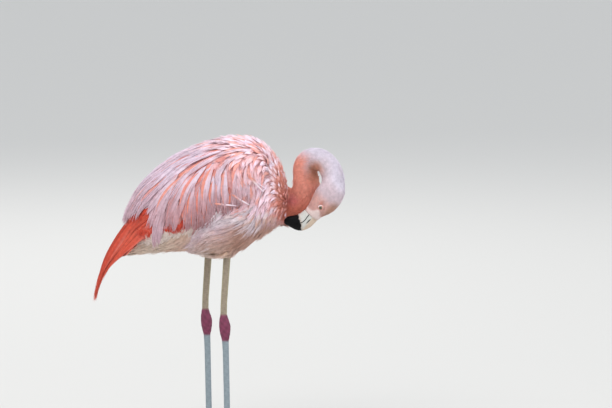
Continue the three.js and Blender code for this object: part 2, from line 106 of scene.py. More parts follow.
PALETTE = {
    "pale": ("#E4CCDA", "Tips and bodies of the wing plumes"),
    "lilac": ("#DACEE0", "Shaded parts of the wing plumes"),
    "coral": ("#E17054", "Streaks between the wing plumes"),
    "ember": ("#C8432F", "Deepest red of the rear plumes"),
    "flame": ("#E2614A", "Rear plumes"),
    "salmon": ("#E89A88", "Lower neck and plume edges"),
    "shoulder": ("#E8BCC0", "Ruffled feathers of the shoulder and breast"),
    "magenta": ("#B9566E", "Down between the shoulder feathers and at the neck's foot"),
    "dusk": ("#BA7C7C", "Shaded lower part of the wings"),
    "rose": ("#D9A6B2", "Lower ends of the wing plumes"),
    "peach": ("#D5A491", "Lower flank"),
    "flank": ("#E2CBD5", "Upper flank"),
    "cream": ("#D2B9A0", "Belly and the underside of the tail"),
    # ochre is painted shade on the undersides of the belly, on the low breast and flank and under
    # the bill's tip; on the upper bill it is the horn's own tone
    "ochre": ("#B78E68", "Stained edge of the belly"),
    "snow": ("#ECDFE3", "Palest feathers: under the tail and over the flank"),
    "neck": ("#DCD3E0", "Upper neck"),
    "face": ("#E2B2AA", "Head"),
    # tan is painted shade inside the neck's bend
    "tan": ("#D08A66", "Crook of the neck"),
    "crown": ("#BE8A6C", "Shaded crown"),
    "lores": ("#DCC6C2", "Bare skin between eye and bill"),
    "bill": ("#CDCDC8", "Base of the bill"),
    "tip": ("#060609", "Tip of the bill"),
    "iris": ("#9A9468", "Iris"),
    "shank": ("#A89F80", "Bare shank"),
    "ankle": ("#78334F", "Ankle"),
    "tarsus": ("#8B989F", "Tarsus"),
    "foot": ("#8A6F7A", "Toes"),
    "web": ("#7E7078", "Webs"),
    "claw": ("#2B2728", "Claws"),
    "brow": ("#CF7C68", "Patch over the eye and the throat"),
    "floor": ("#D2D1CE", "Studio floor"),
}


def linear(code):
    """A colour code such as #E3C6CC as linear red, green and blue."""
    parts = [int(code[i : i + 2], 16) / 255 for i in (1, 3, 5)]
    return tuple(p / 12.92 if p <= 0.04045 else ((p + 0.055) / 1.055) ** 2.4 for p in parts)


def length_value(label, description, millimetres):
    """A length that the user can change."""
    return bpy.props.FloatProperty(
        name=label, description=description, default=millimetres * MM, min=0.1 * MM,
        subtype="DISTANCE", unit="LENGTH",
    )


class FlamingoSizes(bpy.types.PropertyGroup):
    """Sizes of the coat"""

    plume_length: length_value("Plume length", "Longest plumes of the folded wing", 118)
    plume_half: length_value("Plume half width", "Half width of a wing plume", 7.6)
    covert_length: length_value("Covert length", "Short coral feathers under the plumes", 27)
    flank_length: length_value("Flank length", "Soft feathers of the flank and belly", 46)
    neck_tuft: length_value("Neck tuft", "Length of a tuft of neck down", 8.5)
    head_tuft: length_value("Head tuft", "Length of a tuft on the crown", 5.2)


class FlamingoColours(bpy.types.PropertyGroup):
    """Colours of the plumage and the bare parts"""

    __annotations__ = {
        name: bpy.props.FloatVectorProperty(
            name=name.capitalize(), description=about, default=linear(code),
            subtype="COLOR", size=3, min=0, max=1,
        )
        for name, (code, about) in PALETTE.items()
    }


def sizes():
    """The sizes that the user has set."""
    return bpy.context.scene.flamingo_sizes


def hue(name):
    """A colour of the palette, as the user has set it."""
    return np.array(getattr(bpy.context.scene.flamingo_colours, name))


def draws(group):
    """Random numbers for a group of feathers, the same on every run."""
    return np.random.default_rng(SEED + DRAWS[group])


# ------------------------------------------------------------------ small sums
def unit(v):
    """The same directions with length 1."""
    return v / np.maximum(np.linalg.norm(v, axis=-1, keepdims=True), 1e-9)


def dot(a, b):
    """Products of pairs of directions, kept as a last axis of one."""
    return (a * b).sum(-1, keepdims=True)


def flat_on(direction, normal):
    """The part of a direction that lies flat on the skin."""
    return direction - normal * dot(direction, normal)


def ease(low, high, value):
    """0 below low, 1 above high and a smooth step between them."""
    t = np.clip((np.asarray(value, float) - low) / (high - low), 0, 1)
    return t * t * (3 - 2 * t)


def mix(a, b, share):
    """Colours or places between a (share 0) and b (share 1)."""
    return a + (b - a) * np.asarray(share)[..., None]


def shares(count):
    """Evenly spaced shares of a feather's length, in one row."""
    return np.linspace(0, 1, count)[None]


def at_stops(x, stops):
    """A value read between stops, each a place along X and the value there."""
    return np.interp(x, *zip(*stops))


def off_place(x, z, place):
    """How far a place in the side view is from another, in millimetres."""
    return np.hypot(x - place[0], z - place[1]) / MM


def middle(node):
    """The middle of a CAD node's box."""
    low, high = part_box(node)
    return np.array((low + high) / 2)


def read(items, name, size):
    """A value of every vertex or attribute item, as one row each."""
    values = np.empty(len(items) * size, np.float32)
    items.foreach_get(name, values)
    return values.reshape(-1, size).astype(float)


def points_of(mesh):
    """The places of a mesh's vertices."""
    return read(mesh.vertices, "co", 3)


def set_points(mesh, places):
    """Moves a mesh's vertices."""
    mesh.vertices.foreach_set("co", places.ravel().astype(np.float32))
    mesh.update()


def triangles_of(mesh):
    """Corner numbers of a mesh's triangles."""
    mesh.calc_loop_triangles()
    corners = np.empty(len(mesh.loop_triangles) * 3, np.int32)
    mesh.loop_triangles.foreach_get("vertices", corners)
    return corners.reshape(-1, 3)


def averaged(values, edges, times):
    """Values at vertices, each moved towards the mean of its neighbours a few times."""
    count = np.bincount(edges.ravel(), minlength=len(values)).clip(1)[:, None]
    ends = np.concatenate((edges, edges[:, ::-1]))
    values = values.reshape(len(values), -1)
    for _ in range(times):
        near = np.stack([
            np.bincount(ends[:, 0], column[ends[:, 1]], len(values)) for column in values.T
        ], 1) / count
        values = values + (near - values) * 0.5
    return values


def edges_of(mesh):
    """Vertex numbers at the ends of a mesh's edges."""
    ends = np.empty(len(mesh.edges) * 2, np.int32)
    mesh.edges.foreach_get("vertices", ends)
    return ends.reshape(-1, 2)


def mesh_from(shell, title):
    """A mesh made from an edited one, which is let go."""
    mesh = bpy.data.meshes.new(title)
    shell.to_mesh(mesh)
    shell.free()
    return mesh


def linked(name, data):
    """A new object in the scene."""
    thing = bpy.data.objects.new(name, data)
    bpy.context.scene.collection.objects.link(thing)
    return thing


# ------------------------------------------------------------------ places taken from the frame
class HeadFrame:
    """X runs forward from the corner of the mouth, Y to the left eye and Z to the crown."""

    def __init__(self):
        right, left = middle("eye_right"), middle("eye_left")
        self.across = unit(left - right)
        ahead = unit(np.cross(self.across, -DOWN))
        cosine, sine = math.cos(HEAD_TILT), math.sin(HEAD_TILT)
        self.forward = cosine * ahead + sine * DOWN
        self.crown = sine * ahead - cosine * DOWN
        between = (right + left) / 2
        self.gape = between + EYE_BEHIND_GAPE * self.forward - EYE_ABOVE_GAPE * self.crown
        self.axes = np.stack((self.forward, self.across, self.crown))

    def inwards(self, places):
        """Places of the bird in the head's own axes."""
        return (places - self.gape) @ self.axes.T


HEAD = HeadFrame()


class WingOutline:
    """The back and the lower edge of the folded wings, read at any distance along X."""

    def __init__(self):
        points = np.concatenate([points_of(NODES[f"wing_{side}"].data) for side in SIDES])
        low, high = points[:, 0].min(), points[:, 0].max()
        self.x = np.linspace(low, high, 26)
        near = [points[abs(points[:, 0] - x) < 14 * MM] for x in self.x]
        self.tops = np.array([p[:, 2].max() for p in near])
        self.lows = np.array([p[:, 2].min() for p in near])
        self.slopes = np.gradient(self.tops, self.x)
        points = np.concatenate((points, points_of(NODES["trunk"].data)))
        self.z = np.linspace(points[:, 2].min(), points[:, 2].max(), 20)
        near = [points[abs(points[:, 2] - z) < 14 * MM] for z in self.z]
        self.fronts = np.array([p[:, 0].max() for p in near])

    def top(self, x):
        return np.interp(x, self.x, self.tops)

    def edge(self, x):
        return np.interp(x, self.x, self.lows)

    def slope(self, x):
        return np.interp(x, self.x, self.slopes)

    def front(self, z):
        return np.interp(z, self.z, self.fronts)


WING = WingOutline()
PLUME_STOPS = (  # along X, and how far over the wing's lower edge the pale plumes end there
    (-0.180, 31 * MM), (-0.166, 50 * MM), (-0.152, 61 * MM), (-0.141, 66 * MM),
    (-0.131, 68 * MM), (-0.127, 48 * MM), (-0.121, 16 * MM), (-0.117, 3 * MM),
    (-0.104, 3 * MM), (-0.100, 26 * MM), (-0.097, 43 * MM), (-0.085, 41 * MM),
    (-0.073, 33 * MM), (-0.062, 19 * MM), (-0.045, 9 * MM), (-0.020, 3 * MM),
    (0.0, 14 * MM), (0.020, 12 * MM), (0.052, 5 * MM),
)
RED_FLOOR = (  # along X, and the height down to which the wing is red under its plumes
    (-0.160, 0.425), (-0.142, 0.436), (-0.127, 0.446), (-0.100, 0.451), (-0.070, 0.455),
    (-0.055, 0.460),
)
VEIL_TOP = (  # along X, and the height up to which the flank's feathers cover the wing
    (-0.010, 0.488), (0.0, 0.497), (0.020, 0.504), (0.040, 0.506), (0.075, 0.507),
)
BELLY_FLOOR = (  # along X, and the height at which the feathers round the legs end
    (-0.135, 0.380), (-0.120, 0.4095), (-0.105, 0.4115), (-0.090, 0.4135), (-0.075, 0.4160),
    (-0.063, 0.4180), (-0.056, 0.4125), (-0.046, 0.4105), (-0.023, 0.4050), (0.014, 0.4045),
    (0.030, 0.4050), (0.045, 0.402), (0.060, 0.380),
)
# X and Z of places in the side view
NOTCH = (0.1385, 0.527)  # the dip between the neck's foot and the breast
CROOK = (0.180, 0.560)  # inside the neck's bend, where tan is painted as shade
NECK_BEND = (0.186, 0.588)
NECK_FOOT = (0.137, 0.512)
BLUSH = (0.133, 0.512)  # the pink feathers in front of the neck's foot
BILL_SHADOW = (0.121, 0.460)  # painted shade: darker ochre on the feathers under the tip of the bill


def plume_edge(x):
    """Height at which the pale plumes of the wing end."""
    return WING.edge(x) + at_stops(x, PLUME_STOPS)


def belly_floor(places):
    """How low feathers may hang at any place round the legs."""
    rise = 0.12 * (abs(places[..., 1]) - 10 * MM).clip(0)
    return at_stops(places[..., 0], BELLY_FLOOR) + rise


def veil_top(x):
    """Height up to which the flank's feathers cover the wing."""
    return at_stops(x, VEIL_TOP)


def wing_shade(x, z):
    """How far the wing has darkened towards its lower edge, from 0 to 1."""
    paler = ease(0.045, 0.010, abs(x + 0.105)) * ease(0.49, 0.51, z)
    rear = 1 - 0.5 * ease(-0.075, -0.12, x)
    return ease(0.562, 0.485, z) * (1 - 0.45 * paler) * rear * ease(0.07, 0.03, x)


def body_lie(places, is_wing):
    """Which way feathers point on the body, before the skin bends them: 0 is back, 90 down."""
    x, z = places[:, 0], places[:, 2]
    crest = np.degrees(np.arctan(np.clip(WING.slope(x), 0, None)))
    reach = 60 * MM + 65 * MM * ease(0.02, -0.10, x)
    hang = ease(0, 1, (WING.top(x) - z) / reach)
    folded = crest + (94 - crest) * hang
    streaming = 10 + 44 * ease(0.02, -0.045, x) - 34 * ease(-0.055, -0.085, x)
    angle = np.where(is_wing, folded, streaming)
    climbing = ease(66 * MM, 2 * MM, WING.front(z) - x) * ease(0.46, 0.53, z)
    front = 88 - 140 * climbing
    angle = np.radians(angle + (front - angle) * ease(0.035, 0.095, x))
    return np.cos(angle)[:, None] * BACK + np.sin(angle)[:, None] * DOWN


# ------------------------------------------------------------------ the skin
def flesh_nodes():
    """The CAD nodes that feathers cover."""
    starts = ("trunk", "wing_", "thigh_", "neck_", "head")
    return sorted(name for name in NODES if name.startswith(starts))


def new_piece(name, mesh, slot, material, replaced=()):
    """A finished piece on the still body, with its finish and the CAD nodes it stands for."""
    piece = linked(name, mesh)
    mesh.materials.clear()
    mesh.materials.append(material)
    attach(piece, "root")
    if replaced:
        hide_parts(*replaced)
    return piece


def one_body(names, voxel, title):
    """CAD nodes grown together into one closed mesh of even faces."""
    shell = bmesh.new()
    for name in names:
        shell.from_mesh(NODES[name].data)
    bmesh.ops.remove_doubles(shell, verts=shell.verts, dist=1e-6)
    mesh = mesh_from(shell, title)
    holder = linked(title, mesh)
    remesh = holder.modifiers.new("grown together", "REMESH")
    remesh.mode = "VOXEL"
    remesh.voxel_size = voxel
    seen = holder.evaluated_get(bpy.context.evaluated_depsgraph_get())
    grown = bpy.data.meshes.new_from_object(seen)
    bpy.data.objects.remove(holder)
    bpy.data.meshes.remove(mesh)
    keep_largest(grown)
    grown.name = title
    return grown


def keep_largest(mesh):
    """Removes all but the largest connected part of a mesh."""
    body = bmesh.new()
    body.from_mesh(mesh)
    body.verts.ensure_lookup_table()
    part = [-1] * len(body.verts)
    counts = []
    for start in body.verts:
        if part[start.index] >= 0:
            continue
        part[start.index] = len(counts)
        queue, size = [start], 0
        while queue:
            vert = queue.pop()
            size += 1
            for edge in vert.link_edges:
                other = edge.other_vert(vert)
                if part[other.index] < 0:
                    part[other.index] = len(counts)
                    queue.append(other)
        counts.append(size)
    largest = counts.index(max(counts))
    strays = [v for v in body.verts if part[v.index] != largest]
    bmesh.ops.delete(body, geom=strays, context="VERTS")
    body.to_mesh(mesh)
    body.free()


def nearest_nodes(places, names):
    """The number, in names, of the CAD node nearest to each place."""
    corners, faces, owners = [], [], []
    for number, name in enumerate(names):
        mesh = NODES[name].data
        first = sum(len(c) for c in corners)
        corners.append(points_of(mesh))
        triangles = triangles_of(mesh)
        faces.append(triangles + first)
        owners += [number] * len(triangles)
    tree = BVHTree.FromPolygons(np.concatenate(corners).tolist(), np.concatenate(faces).tolist())
    return np.array([owners[tree.find_nearest(p)[2]] for p in places.tolist()])


def reach_from_bill(mesh, places):
    """The way over the skin from the base of the bill to each vertex."""
    ways = [[] for _ in places]
    for face in mesh.polygons:
        corners = list(face.vertices)
        for i, a in enumerate(corners):
            for b in corners[i + 1 :]:
                ways[a].append(b)
                ways[b].append(a)
    spots = places.tolist()
    reach = np.full(len(places), SPINE_LIMIT)
    queue = []
    for start in np.flatnonzero(HEAD.inwards(places)[:, 0] > -1 * MM):
        if np.linalg.norm(places[start] - HEAD.gape) < 30 * MM:
            reach[start] = 0
            queue.append((0.0, int(start)))
    heapq.heapify(queue)
    while queue:
        so_far, a = heapq.heappop(queue)
        if so_far > reach[a]:
            continue
        for b in ways[a]:
            there = so_far + math.dist(spots[a], spots[b])
            if there < reach[b]:
                reach[b] = there
                heapq.heappush(queue, (there, b))
    return reach


SPINE_STEP = 6 * MM
SPINE_LIMIT = 0.9  # longer than any way over the skin from the bill


def spine_through(places, reach):
    """Middles of the bands of skin at each distance from the bill."""
    band = np.minimum((reach / SPINE_STEP).astype(int), int(SPINE_LIMIT / SPINE_STEP))
    count = np.bincount(band).clip(1)[:, None]
    line = np.stack([np.bincount(band, column) for column in places.T], 1) / count
    line = line[:-1]
    for _ in range(3):
        line[1:-1] = (line[:-2] + 2 * line[1:-1] + line[2:]) / 4
    return line


def sink(mesh, kind):
    """Moves the skin in from the coat's outline, and out to meet the base of the bill."""
    places, edges = points_of(mesh), edges_of(mesh)
    depth = averaged(np.array([COAT_DEPTH[k] for k in kind]), edges, 12)
    local = HEAD.inwards(places) / MM
    by_bill = (kind == "head") * averaged(bareness(local), edges, 3)[:, 0]
    depth = depth * (1 - by_bill[:, None])
    for side in SIDES:
        off = np.hypot(*(places - middle(f"shank_{side}"))[:, :2].T)
        by_leg = ease(24 * MM, 12 * MM, off) * ease(0.46, 0.44, places[:, 2])
        depth = depth * (1 - 0.9 * by_leg[:, None])
    places = averaged(places, edges, 2)
    set_points(mesh, places)
    places = places - read(mesh.vertices, "normal", 3) * depth
    swell = 0.35 * MM * ease(-9, -1, local[:, 0]) * by_bill
    places = places + read(mesh.vertices, "normal", 3) * swell[:, None]
    onto_bill = 2.2 * MM * ease(-3, 1, local[:, 0]) * (by_bill > 0.02)
    places = places + onto_bill[:, None] * HEAD.forward
    loose = averaged(((kind != "head") | (local[:, 0] < -40)).astype(float), edges, 6)
    places = mix(places, averaged(places, edges, 5), loose[:, 0])
    nape = ~np.isin(kind, ("trunk", "wing", "thigh"))
    nape = nape * ease(24, 8, abs(local[:, 0] + 68)) * ease(0.58, 0.565, places[:, 2])
    places = mix(places, averaged(places, edges, 26), averaged(nape, edges, 3)[:, 0])
    notch = ease(15, 3, off_place(places[:, 0], places[:, 2], NOTCH))
    places = places + DOWN * (6 * MM * notch)[:, None]
    raised = np.maximum(places[:, 2], belly_floor(places) - 0.5 * MM)
    places[:, 2] = np.where(np.isin(kind, ("trunk", "thigh")), raised, places[:, 2])
    set_points(mesh, places)
    return places


def comb_skin(mesh, places, kind, node):
    """Stores on the skin which way feathers lie, and where it is along and round the bird."""
    edges = edges_of(mesh)
    reach = reach_from_bill(mesh, places)
    spine = spine_through(places, reach)
    along = np.gradient(spine, axis=0)
    band = np.minimum((reach / SPINE_STEP).astype(int), len(spine) - 1)
    is_wing = kind == "wing"
    on_body = ease(NECK_END - 30 * MM, NECK_END + 15 * MM, reach)
    lie = mix(unit(along)[band], body_lie(places, is_wing), on_body)
    normal = read(mesh.vertices, "normal", 3)
    lie = averaged(unit(lie), edges, 8)
    on_neck = ease(0.05, 0.075, reach) * ease(0.2, 0.175, reach)
    lie = mix(lie, averaged(unit(lie), edges, 30), on_neck)
    across = unit(LEFT - unit(along) * dot(unit(along), LEFT))
    rim = np.cross(across, unit(along))
    out = places - spine[band]
    round_it = np.arctan2(dot(out, rim[band])[:, 0], dot(out, across[band])[:, 0])
    store(mesh, "lie", "FLOAT_VECTOR", flat_on(lie, normal))
    store(mesh, "reach", "FLOAT", reach)
    store(mesh, "node", "INT", node)
    store(mesh, "girth", "FLOAT", round_it / (2 * math.pi) + 0.5)
    paint(mesh, markings(places, normal, reach, is_wing))


def make_skin():
    """One closed skin under everything that feathers cover."""
    names = flesh_nodes()
    mesh = one_body(names, HIDE_VOXEL, "skin")
    node = nearest_nodes(points_of(mesh), names)
    kinds = [next(k for k in COAT_DEPTH if name.startswith(k)) for name in names]
    kind = np.array(kinds)[node]
    comb_skin(mesh, sink(mesh, kind), kind, node)
    material = plumage_finish("bare_skin", roughness=0.62, sheen=0.1, streaks=0.0)
    return new_piece("skin", mesh, "body_plumage", material, names)


def store(mesh, name, kind, values):
    """Keeps a value for each vertex on the mesh, under a name."""
    field = {"FLOAT_VECTOR": "vector", "FLOAT_COLOR": "color"}.get(kind, "value")
    attribute = mesh.attributes.new(name, kind, "POINT")
    plain = np.int32 if kind == "INT" else np.float32
    attribute.data.foreach_set(field, np.ascontiguousarray(values, plain).ravel())


def paint(mesh, colours):
    """Gives a mesh its colours, one for each vertex, and smooth shading."""
    opaque = np.ones((len(colours), 1))
    store(mesh, "tint", "FLOAT_COLOR", np.concatenate((colours.clip(0, 1), opaque), 1))
    shade_smooth(mesh)


def shade_smooth(mesh):
    """Rounds the shading of all faces."""
    mesh.polygons.foreach_set("use_smooth", np.ones(len(mesh.polygons), bool))


class Hide:
    """The skin, ready to say what lies nearest to any place."""

    def __init__(self):
        mesh = bpy.data.objects["skin"].data
        self.place = points_of(mesh)
        self.normal = read(mesh.vertices, "normal", 3)
        self.lie = read(mesh.attributes["lie"].data, "vector", 3)
        self.reach = read(mesh.attributes["reach"].data, "value", 1)[:, 0]
        self.girth = read(mesh.attributes["girth"].data, "value", 1)[:, 0]
        self.triangles = triangles_of(mesh)
        node = np.empty(len(self.place), np.int32)
        mesh.attributes["node"].data.foreach_get("value", node)
        self.node = node[self.triangles[:, 0]]
        self.names = flesh_nodes()
        self.tree = BVHTree.FromPolygons(self.place.tolist(), self.triangles.tolist())
        a, b, c = (self.place[self.triangles[:, i]] for i in range(3))
        self.area = np.linalg.norm(np.cross(b - a, c - a), axis=1) / 2
        self.middle = (a + b + c) / 3

    def on(self, *starts):
        """Which triangles lie on CAD nodes whose names start so."""
        numbers = [i for i, name in enumerate(self.names) if name.startswith(starts)]
        return np.isin(self.node, numbers)

    def nearest(self, places):
        """Nearest places on the skin, with the normal and the lie of the feathers there."""
        found = [self.tree.find_nearest(p) for p in places.tolist()]
        near = np.array([f[0][:] for f in found])
        corners = self.triangles[[f[2] for f in found]]
        a, b, c = (self.place[corners[:, i]] for i in range(3))
        ab, ac, ap = b - a, c - a, near - a
        d00, d01, d11 = (ab * ab).sum(1), (ab * ac).sum(1), (ac * ac).sum(1)
        d20, d21 = (ap * ab).sum(1), (ap * ac).sum(1)
        whole = np.maximum(d00 * d11 - d01 * d01, 1e-18)
        v = (d11 * d20 - d01 * d21) / whole
        w = (d00 * d21 - d01 * d20) / whole
        parts = np.stack((1 - v - w, v, w), 1)[:, :, None]
        normal = unit((self.normal[corners] * parts).sum(1))
        return near, normal, (self.lie[corners] * parts).sum(1)


@functools.lru_cache(maxsize=1)
def hide():
    """The skin as first asked for, when it is finished."""
    return Hide()


# ------------------------------------------------------------------ markings
def markings(places, normal, reach, is_wing):
    """The plumage's colour over the body. The skin and the coat both take it."""
    x, z = places[:, 0], places[:, 2]
    facing_up = normal[:, 2]
    local = HEAD.inwards(places) / MM
    wing = mix(hue("pale"), hue("lilac"), 0.5 * ease(-0.02, -0.12, x))
    wing = mix(wing, hue("dusk"), 0.95 * wing_shade(x, z))
    wing = mix(wing, hue("shoulder"), ease(0.02, 0.07, x))
    red = ease(7 * MM, -3 * MM, z - plume_edge(x)) * ease(-0.052, -0.064, x)
    wing = mix(wing, hue("ember"), red)
    under = ease(1.5 * MM, -1.5 * MM, z - at_stops(x, RED_FLOOR))
    wing = mix(wing, mix(hue("cream"), hue("snow"), 0.45), under * ease(-0.04, -0.055, x))
    flank = mix(hue("flank"), hue("peach"), 0.8 * ease(0.485, 0.44, z))
    flank = mix(flank, hue("cream"), 0.8 * ease(0.437, 0.412, z))
    # painted shade: warmer ochre on faces that point down, under the belly
    flank = mix(flank, hue("ochre"), 0.45 * ease(-0.35, -0.9, facing_up) * ease(-0.03, 0.03, x))
    # painted shade: the cone under the tail is creamier on faces that point down; peach at its front
    # is painted shadow under the fringe
    cone = mix(hue("snow"), hue("cream"), 0.25 + 0.55 * ease(0.0, -0.7, facing_up))
    shaded = mix(cone, hue("peach"), 0.45 * ease(-0.085, -0.055, x))
    flank = mix(flank, shaded, ease(-0.030, -0.050, x))
    front = mix(hue("shoulder"), hue("salmon"), ease(0.47, 0.51, z) * ease(0.1, 0.118, x))
    flank = mix(flank, front, ease(0.075, 0.105, x))
    body = np.where(is_wing[:, None], wing, flank)
    rise_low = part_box("neck_rise")[0].z
    side_of_bend = (NECK_BEND[0] - x) * 0.5 + (NECK_BEND[1] - z) * 0.86
    on_rise = ease(-6 * MM, 24 * MM, side_of_bend) * ease(0.092, 0.116, reach)
    # painted shade: the inside of the neck's bend is made darker and warmer
    inner = ease(0.216, 0.190, x) * ease(0.595, 0.57, z)
    neck = hue("neck") * (1 - inner[:, None] * np.array((0.05, 0.15, 0.2)))
    neck = mix(neck, hue("salmon"), on_rise)
    # darker coral at the foot of the rising neck: its deeper colour with painted shade
    low = ease(rise_low + 20 * MM, rise_low - 35 * MM, z) * on_rise
    neck = mix(neck, hue("coral") * 0.72, 0.75 * low)
    # painted shade: tan inside the neck's bend
    crook_shade = ease(26 * MM, 8 * MM, np.hypot((x - CROOK[0]) * 1.4, z - CROOK[1]))
    neck = mix(neck, hue("tan"), 0.85 * crook_shade)
    head = mix(hue("face"), hue("neck"), 0.7 * ease(-24, -45, local[:, 0]))
    head = mix(head, hue("crown"), 0.7 * ease(14, 25, local[:, 2]) * ease(-50, -30, local[:, 0]))
    brow = ease(1, 0.3, np.hypot((local[:, 0] + 25) / 9, (local[:, 2] - 5) / 5))
    throat = ease(-8, -16, local[:, 2]) * ease(-34, -12, local[:, 0])
    head = mix(head, hue("brow"), 0.55 * np.maximum(brow, 0.6 * throat))
    head = mix(head, hue("lores"), bareness(local))
    upper = mix(head, neck, ease(0.05, 0.08, reach))
    body = mix(body, hue("shoulder"), 0.75 * ease(16, 4, off_place(x, z, BLUSH)))
    upper = mix(upper, hue("magenta") * 1.25, 0.35 * ease(18, 4, off_place(x, z, NECK_FOOT)))
    # painted shade under the tip of the bill
    body = mix(body, hue("ochre") * 0.85, 0.8 * ease(17, 6, off_place(x, z, BILL_SHADOW)))
    return mix(upper, body, ease(NECK_END - 5 * MM, NECK_END + 22 * MM, reach))


def bareness(local):
    """1 on the bare skin between the bill and the eye, 0 where down grows. Millimetres."""
    reach = 3.5 + 12 * np.exp(-(((local[:, 2] - 9) / 6.5) ** 2))
    return ease(-1.5, 1.5, local[:, 0] + reach)


# ------------------------------------------------------------------ finishes
class Finish:
    """A material being made: a shader and the nodes that lead to it."""

    def __init__(self, name, inputs):
        self.material = bpy.data.materials.new(name)
        self.material.use_nodes = True
        self.shader = self.material.node_tree.nodes["Principled BSDF"]
        self.feed(self.shader, inputs)

    def feed(self, node, inputs):
        """Joins each input to the socket given for it, or sets it to the value given."""
        for name, value in inputs.items():
            if isinstance(value, bpy.types.NodeSocket):
                self.material.node_tree.links.new(value, node.inputs[name])
            else:
                node.inputs[name].default_value = value

    def add(self, kind, inputs, **settings):
        """A new node with its settings and inputs."""
        node = self.material.node_tree.nodes.new(f"ShaderNode{kind}")
        for name, value in settings.items():
            setattr(node, name, value)
        self.feed(node, inputs)
        return node

    def stored(self, name):
        """What the mesh holds under a name."""
        return self.add("Attribute", {}, attribute_name=name).outputs

    def place(self):
        """The place on the piece."""
        return self.add("TexCoord", {}).outputs["Object"]

    def noise(self, scale, detail, place=None):
        """Noise over the piece, or over the place given."""
        inputs = {"Scale": scale, "Detail": detail, "Vector": place or self.place()}
        return self.add("TexNoise", inputs).outputs["Fac"]

    def multiplied(self, colour, grey):
        """A colour made lighter or darker by a grey."""
        inputs = {"Factor": 1.0, "A": colour, "B": grey}
        both = self.add("Mix", inputs, data_type="RGBA", blend_type="MULTIPLY")
        return both.outputs["Result"]

    def mottled(self, colour, noise, low, high):
        """A colour times noise, whose usual run from 0.3 to 0.7 is spread from low to high."""
        inputs = {"From Min": 0.3, "From Max": 0.7, "To Min": low, "To Max": high, "Value": noise}
        return self.multiplied(colour, self.add("MapRange", inputs).outputs["Result"])

    def done(self, colour, height=None, strength=1.0, depth=MM):
        """The material, with its colour and, where a height is given, its bumps."""
        self.feed(self.shader, {"Base Color": colour})
        if height is not None:
            inputs = {"Strength": strength, "Distance": depth, "Height": height}
            self.feed(self.shader, {"Normal": self.add("Bump", inputs).outputs["Normal"]})
        return self.material


def plumage_finish(name, roughness, sheen, streaks, barbs=26.0):
    """Feather vanes: their own tint, fine barbs along them and a soft bloom."""
    finish = Finish(name, {
        "Roughness": roughness, "Sheen Weight": sheen, "Sheen Roughness": 0.4,
        "Sheen Tint": (1.0, 0.94, 0.97, 1), "Specular IOR Level": 0.28,
    })
    mottle = finish.noise(160 if streaks else 620, 5)
    colour = finish.mottled(finish.stored("tint")["Color"], mottle, 0.86, 1.1)
    if not streaks:
        return finish.done(colour, mottle, 0.35, 0.4 * MM)
    vane = finish.add("UVMap", {}, uv_map="Vane").outputs["UV"]
    along = finish.add("Mapping", {"Scale": (barbs, 1.6, 1), "Vector": vane}).outputs["Vector"]
    barb = finish.noise(1, 3, along)
    colour = finish.mottled(colour, barb, 1 - streaks, 1 + streaks * 0.5)
    return finish.done(colour, barb, 0.5, 0.5 * MM)


@functools.lru_cache(maxsize=None)
def finish_of(kind):
    """The finish of stiff plumes, of soft body feathers or of down."""
    settings = {
        "plume": dict(roughness=0.45, sheen=0.3, streaks=0.13),
        "soft": dict(roughness=0.6, sheen=0.4, streaks=0.12, barbs=10.0),
        "down": dict(roughness=0.75, sheen=0.5, streaks=0.08, barbs=4.0),
    }[kind]
    return plumage_finish(f"{kind}_plumage", **settings)


# ------------------------------------------------------------------ where feathers grow
class Spots:
    """Roots of feathers: their places on the skin and what the skin says there."""

    def __init__(self, **arrays):
        self.__dict__.update(arrays)

    def __len__(self):
        return len(self.place)

    def taken(self, chosen):
        return Spots(**{key: value[chosen] for key, value in self.__dict__.items()})


def scattered(chosen, across, along, rng, size=None):
    """Spots on the chosen triangles of the skin, so far apart beside and ahead of each other.
    size, if given, scales the spacing from place to place, and leaves none where it is 0."""
    skin = hide()
    picked = np.flatnonzero(chosen)
    area = skin.area[picked]
    count = int(6 * area.sum() / (across * along))
    picked = rng.choice(picked, count, p=area / area.sum())
    a, b = rng.random((2, count))
    over = a + b > 1
    a, b = np.where(over, 1 - a, a), np.where(over, 1 - b, b)
    parts = np.stack((1 - a - b, a, b), 1)[:, :, None]
    corners = skin.triangles[picked]
    place = (skin.place[corners] * parts).sum(1)
    scale = np.ones(count) if size is None else size(place)
    spots = Spots(
        place=place,
        normal=unit((skin.normal[corners] * parts).sum(1)),
        lie=(skin.lie[corners] * parts).sum(1),
        reach=(skin.reach[corners] * parts[:, :, 0]).sum(1),
        girth=skin.girth[corners[:, 0]],
        scale=scale,
    )
    spots = spots.taken(scale > 0.05)
    spots.lie = unit(spots.lie)
    return spots.taken(apart(spots, across, along))


def apart(spots, across, along):
    """The spots that are left when each keeps its distance from those before it."""
    beside = np.cross(spots.normal, spots.lie)
    largest = max(across, along) * max(1.0, float(spots.scale.max()))
    cells = np.floor(spots.place / largest).astype(int).tolist()
    rows = np.concatenate((spots.place, spots.lie, beside, spots.normal), 1).tolist()
    scales = spots.scale.tolist()
    around = [(i, j, k) for i in (-1, 0, 1) for j in (-1, 0, 1) for k in (-1, 0, 1)]
    taken, kept = {}, []
    for n, (row, (i, j, k), scale) in enumerate(zip(rows, cells, scales)):
        x, y, z, lx, ly, lz, sx, sy, sz, nx, ny, nz = row
        wide, far = across * scale, along * scale
        free = True
        for di, dj, dk in around:
            for px, py, pz in taken.get((i + di, j + dj, k + dk), ()):
                ox, oy, oz = px - x, py - y, pz - z
                ahead = (ox * lx + oy * ly + oz * lz) / far
                aside = (ox * sx + oy * sy + oz * sz) / wide
                out = (ox * nx + oy * ny + oz * nz) / wide
                if ahead * ahead + aside * aside + out * out < 1:
                    free = False
                    break
            if not free:
                break
        if free:
            taken.setdefault((i, j, k), []).append((x, y, z))
            kept.append(n)
    return np.array(kept, int)


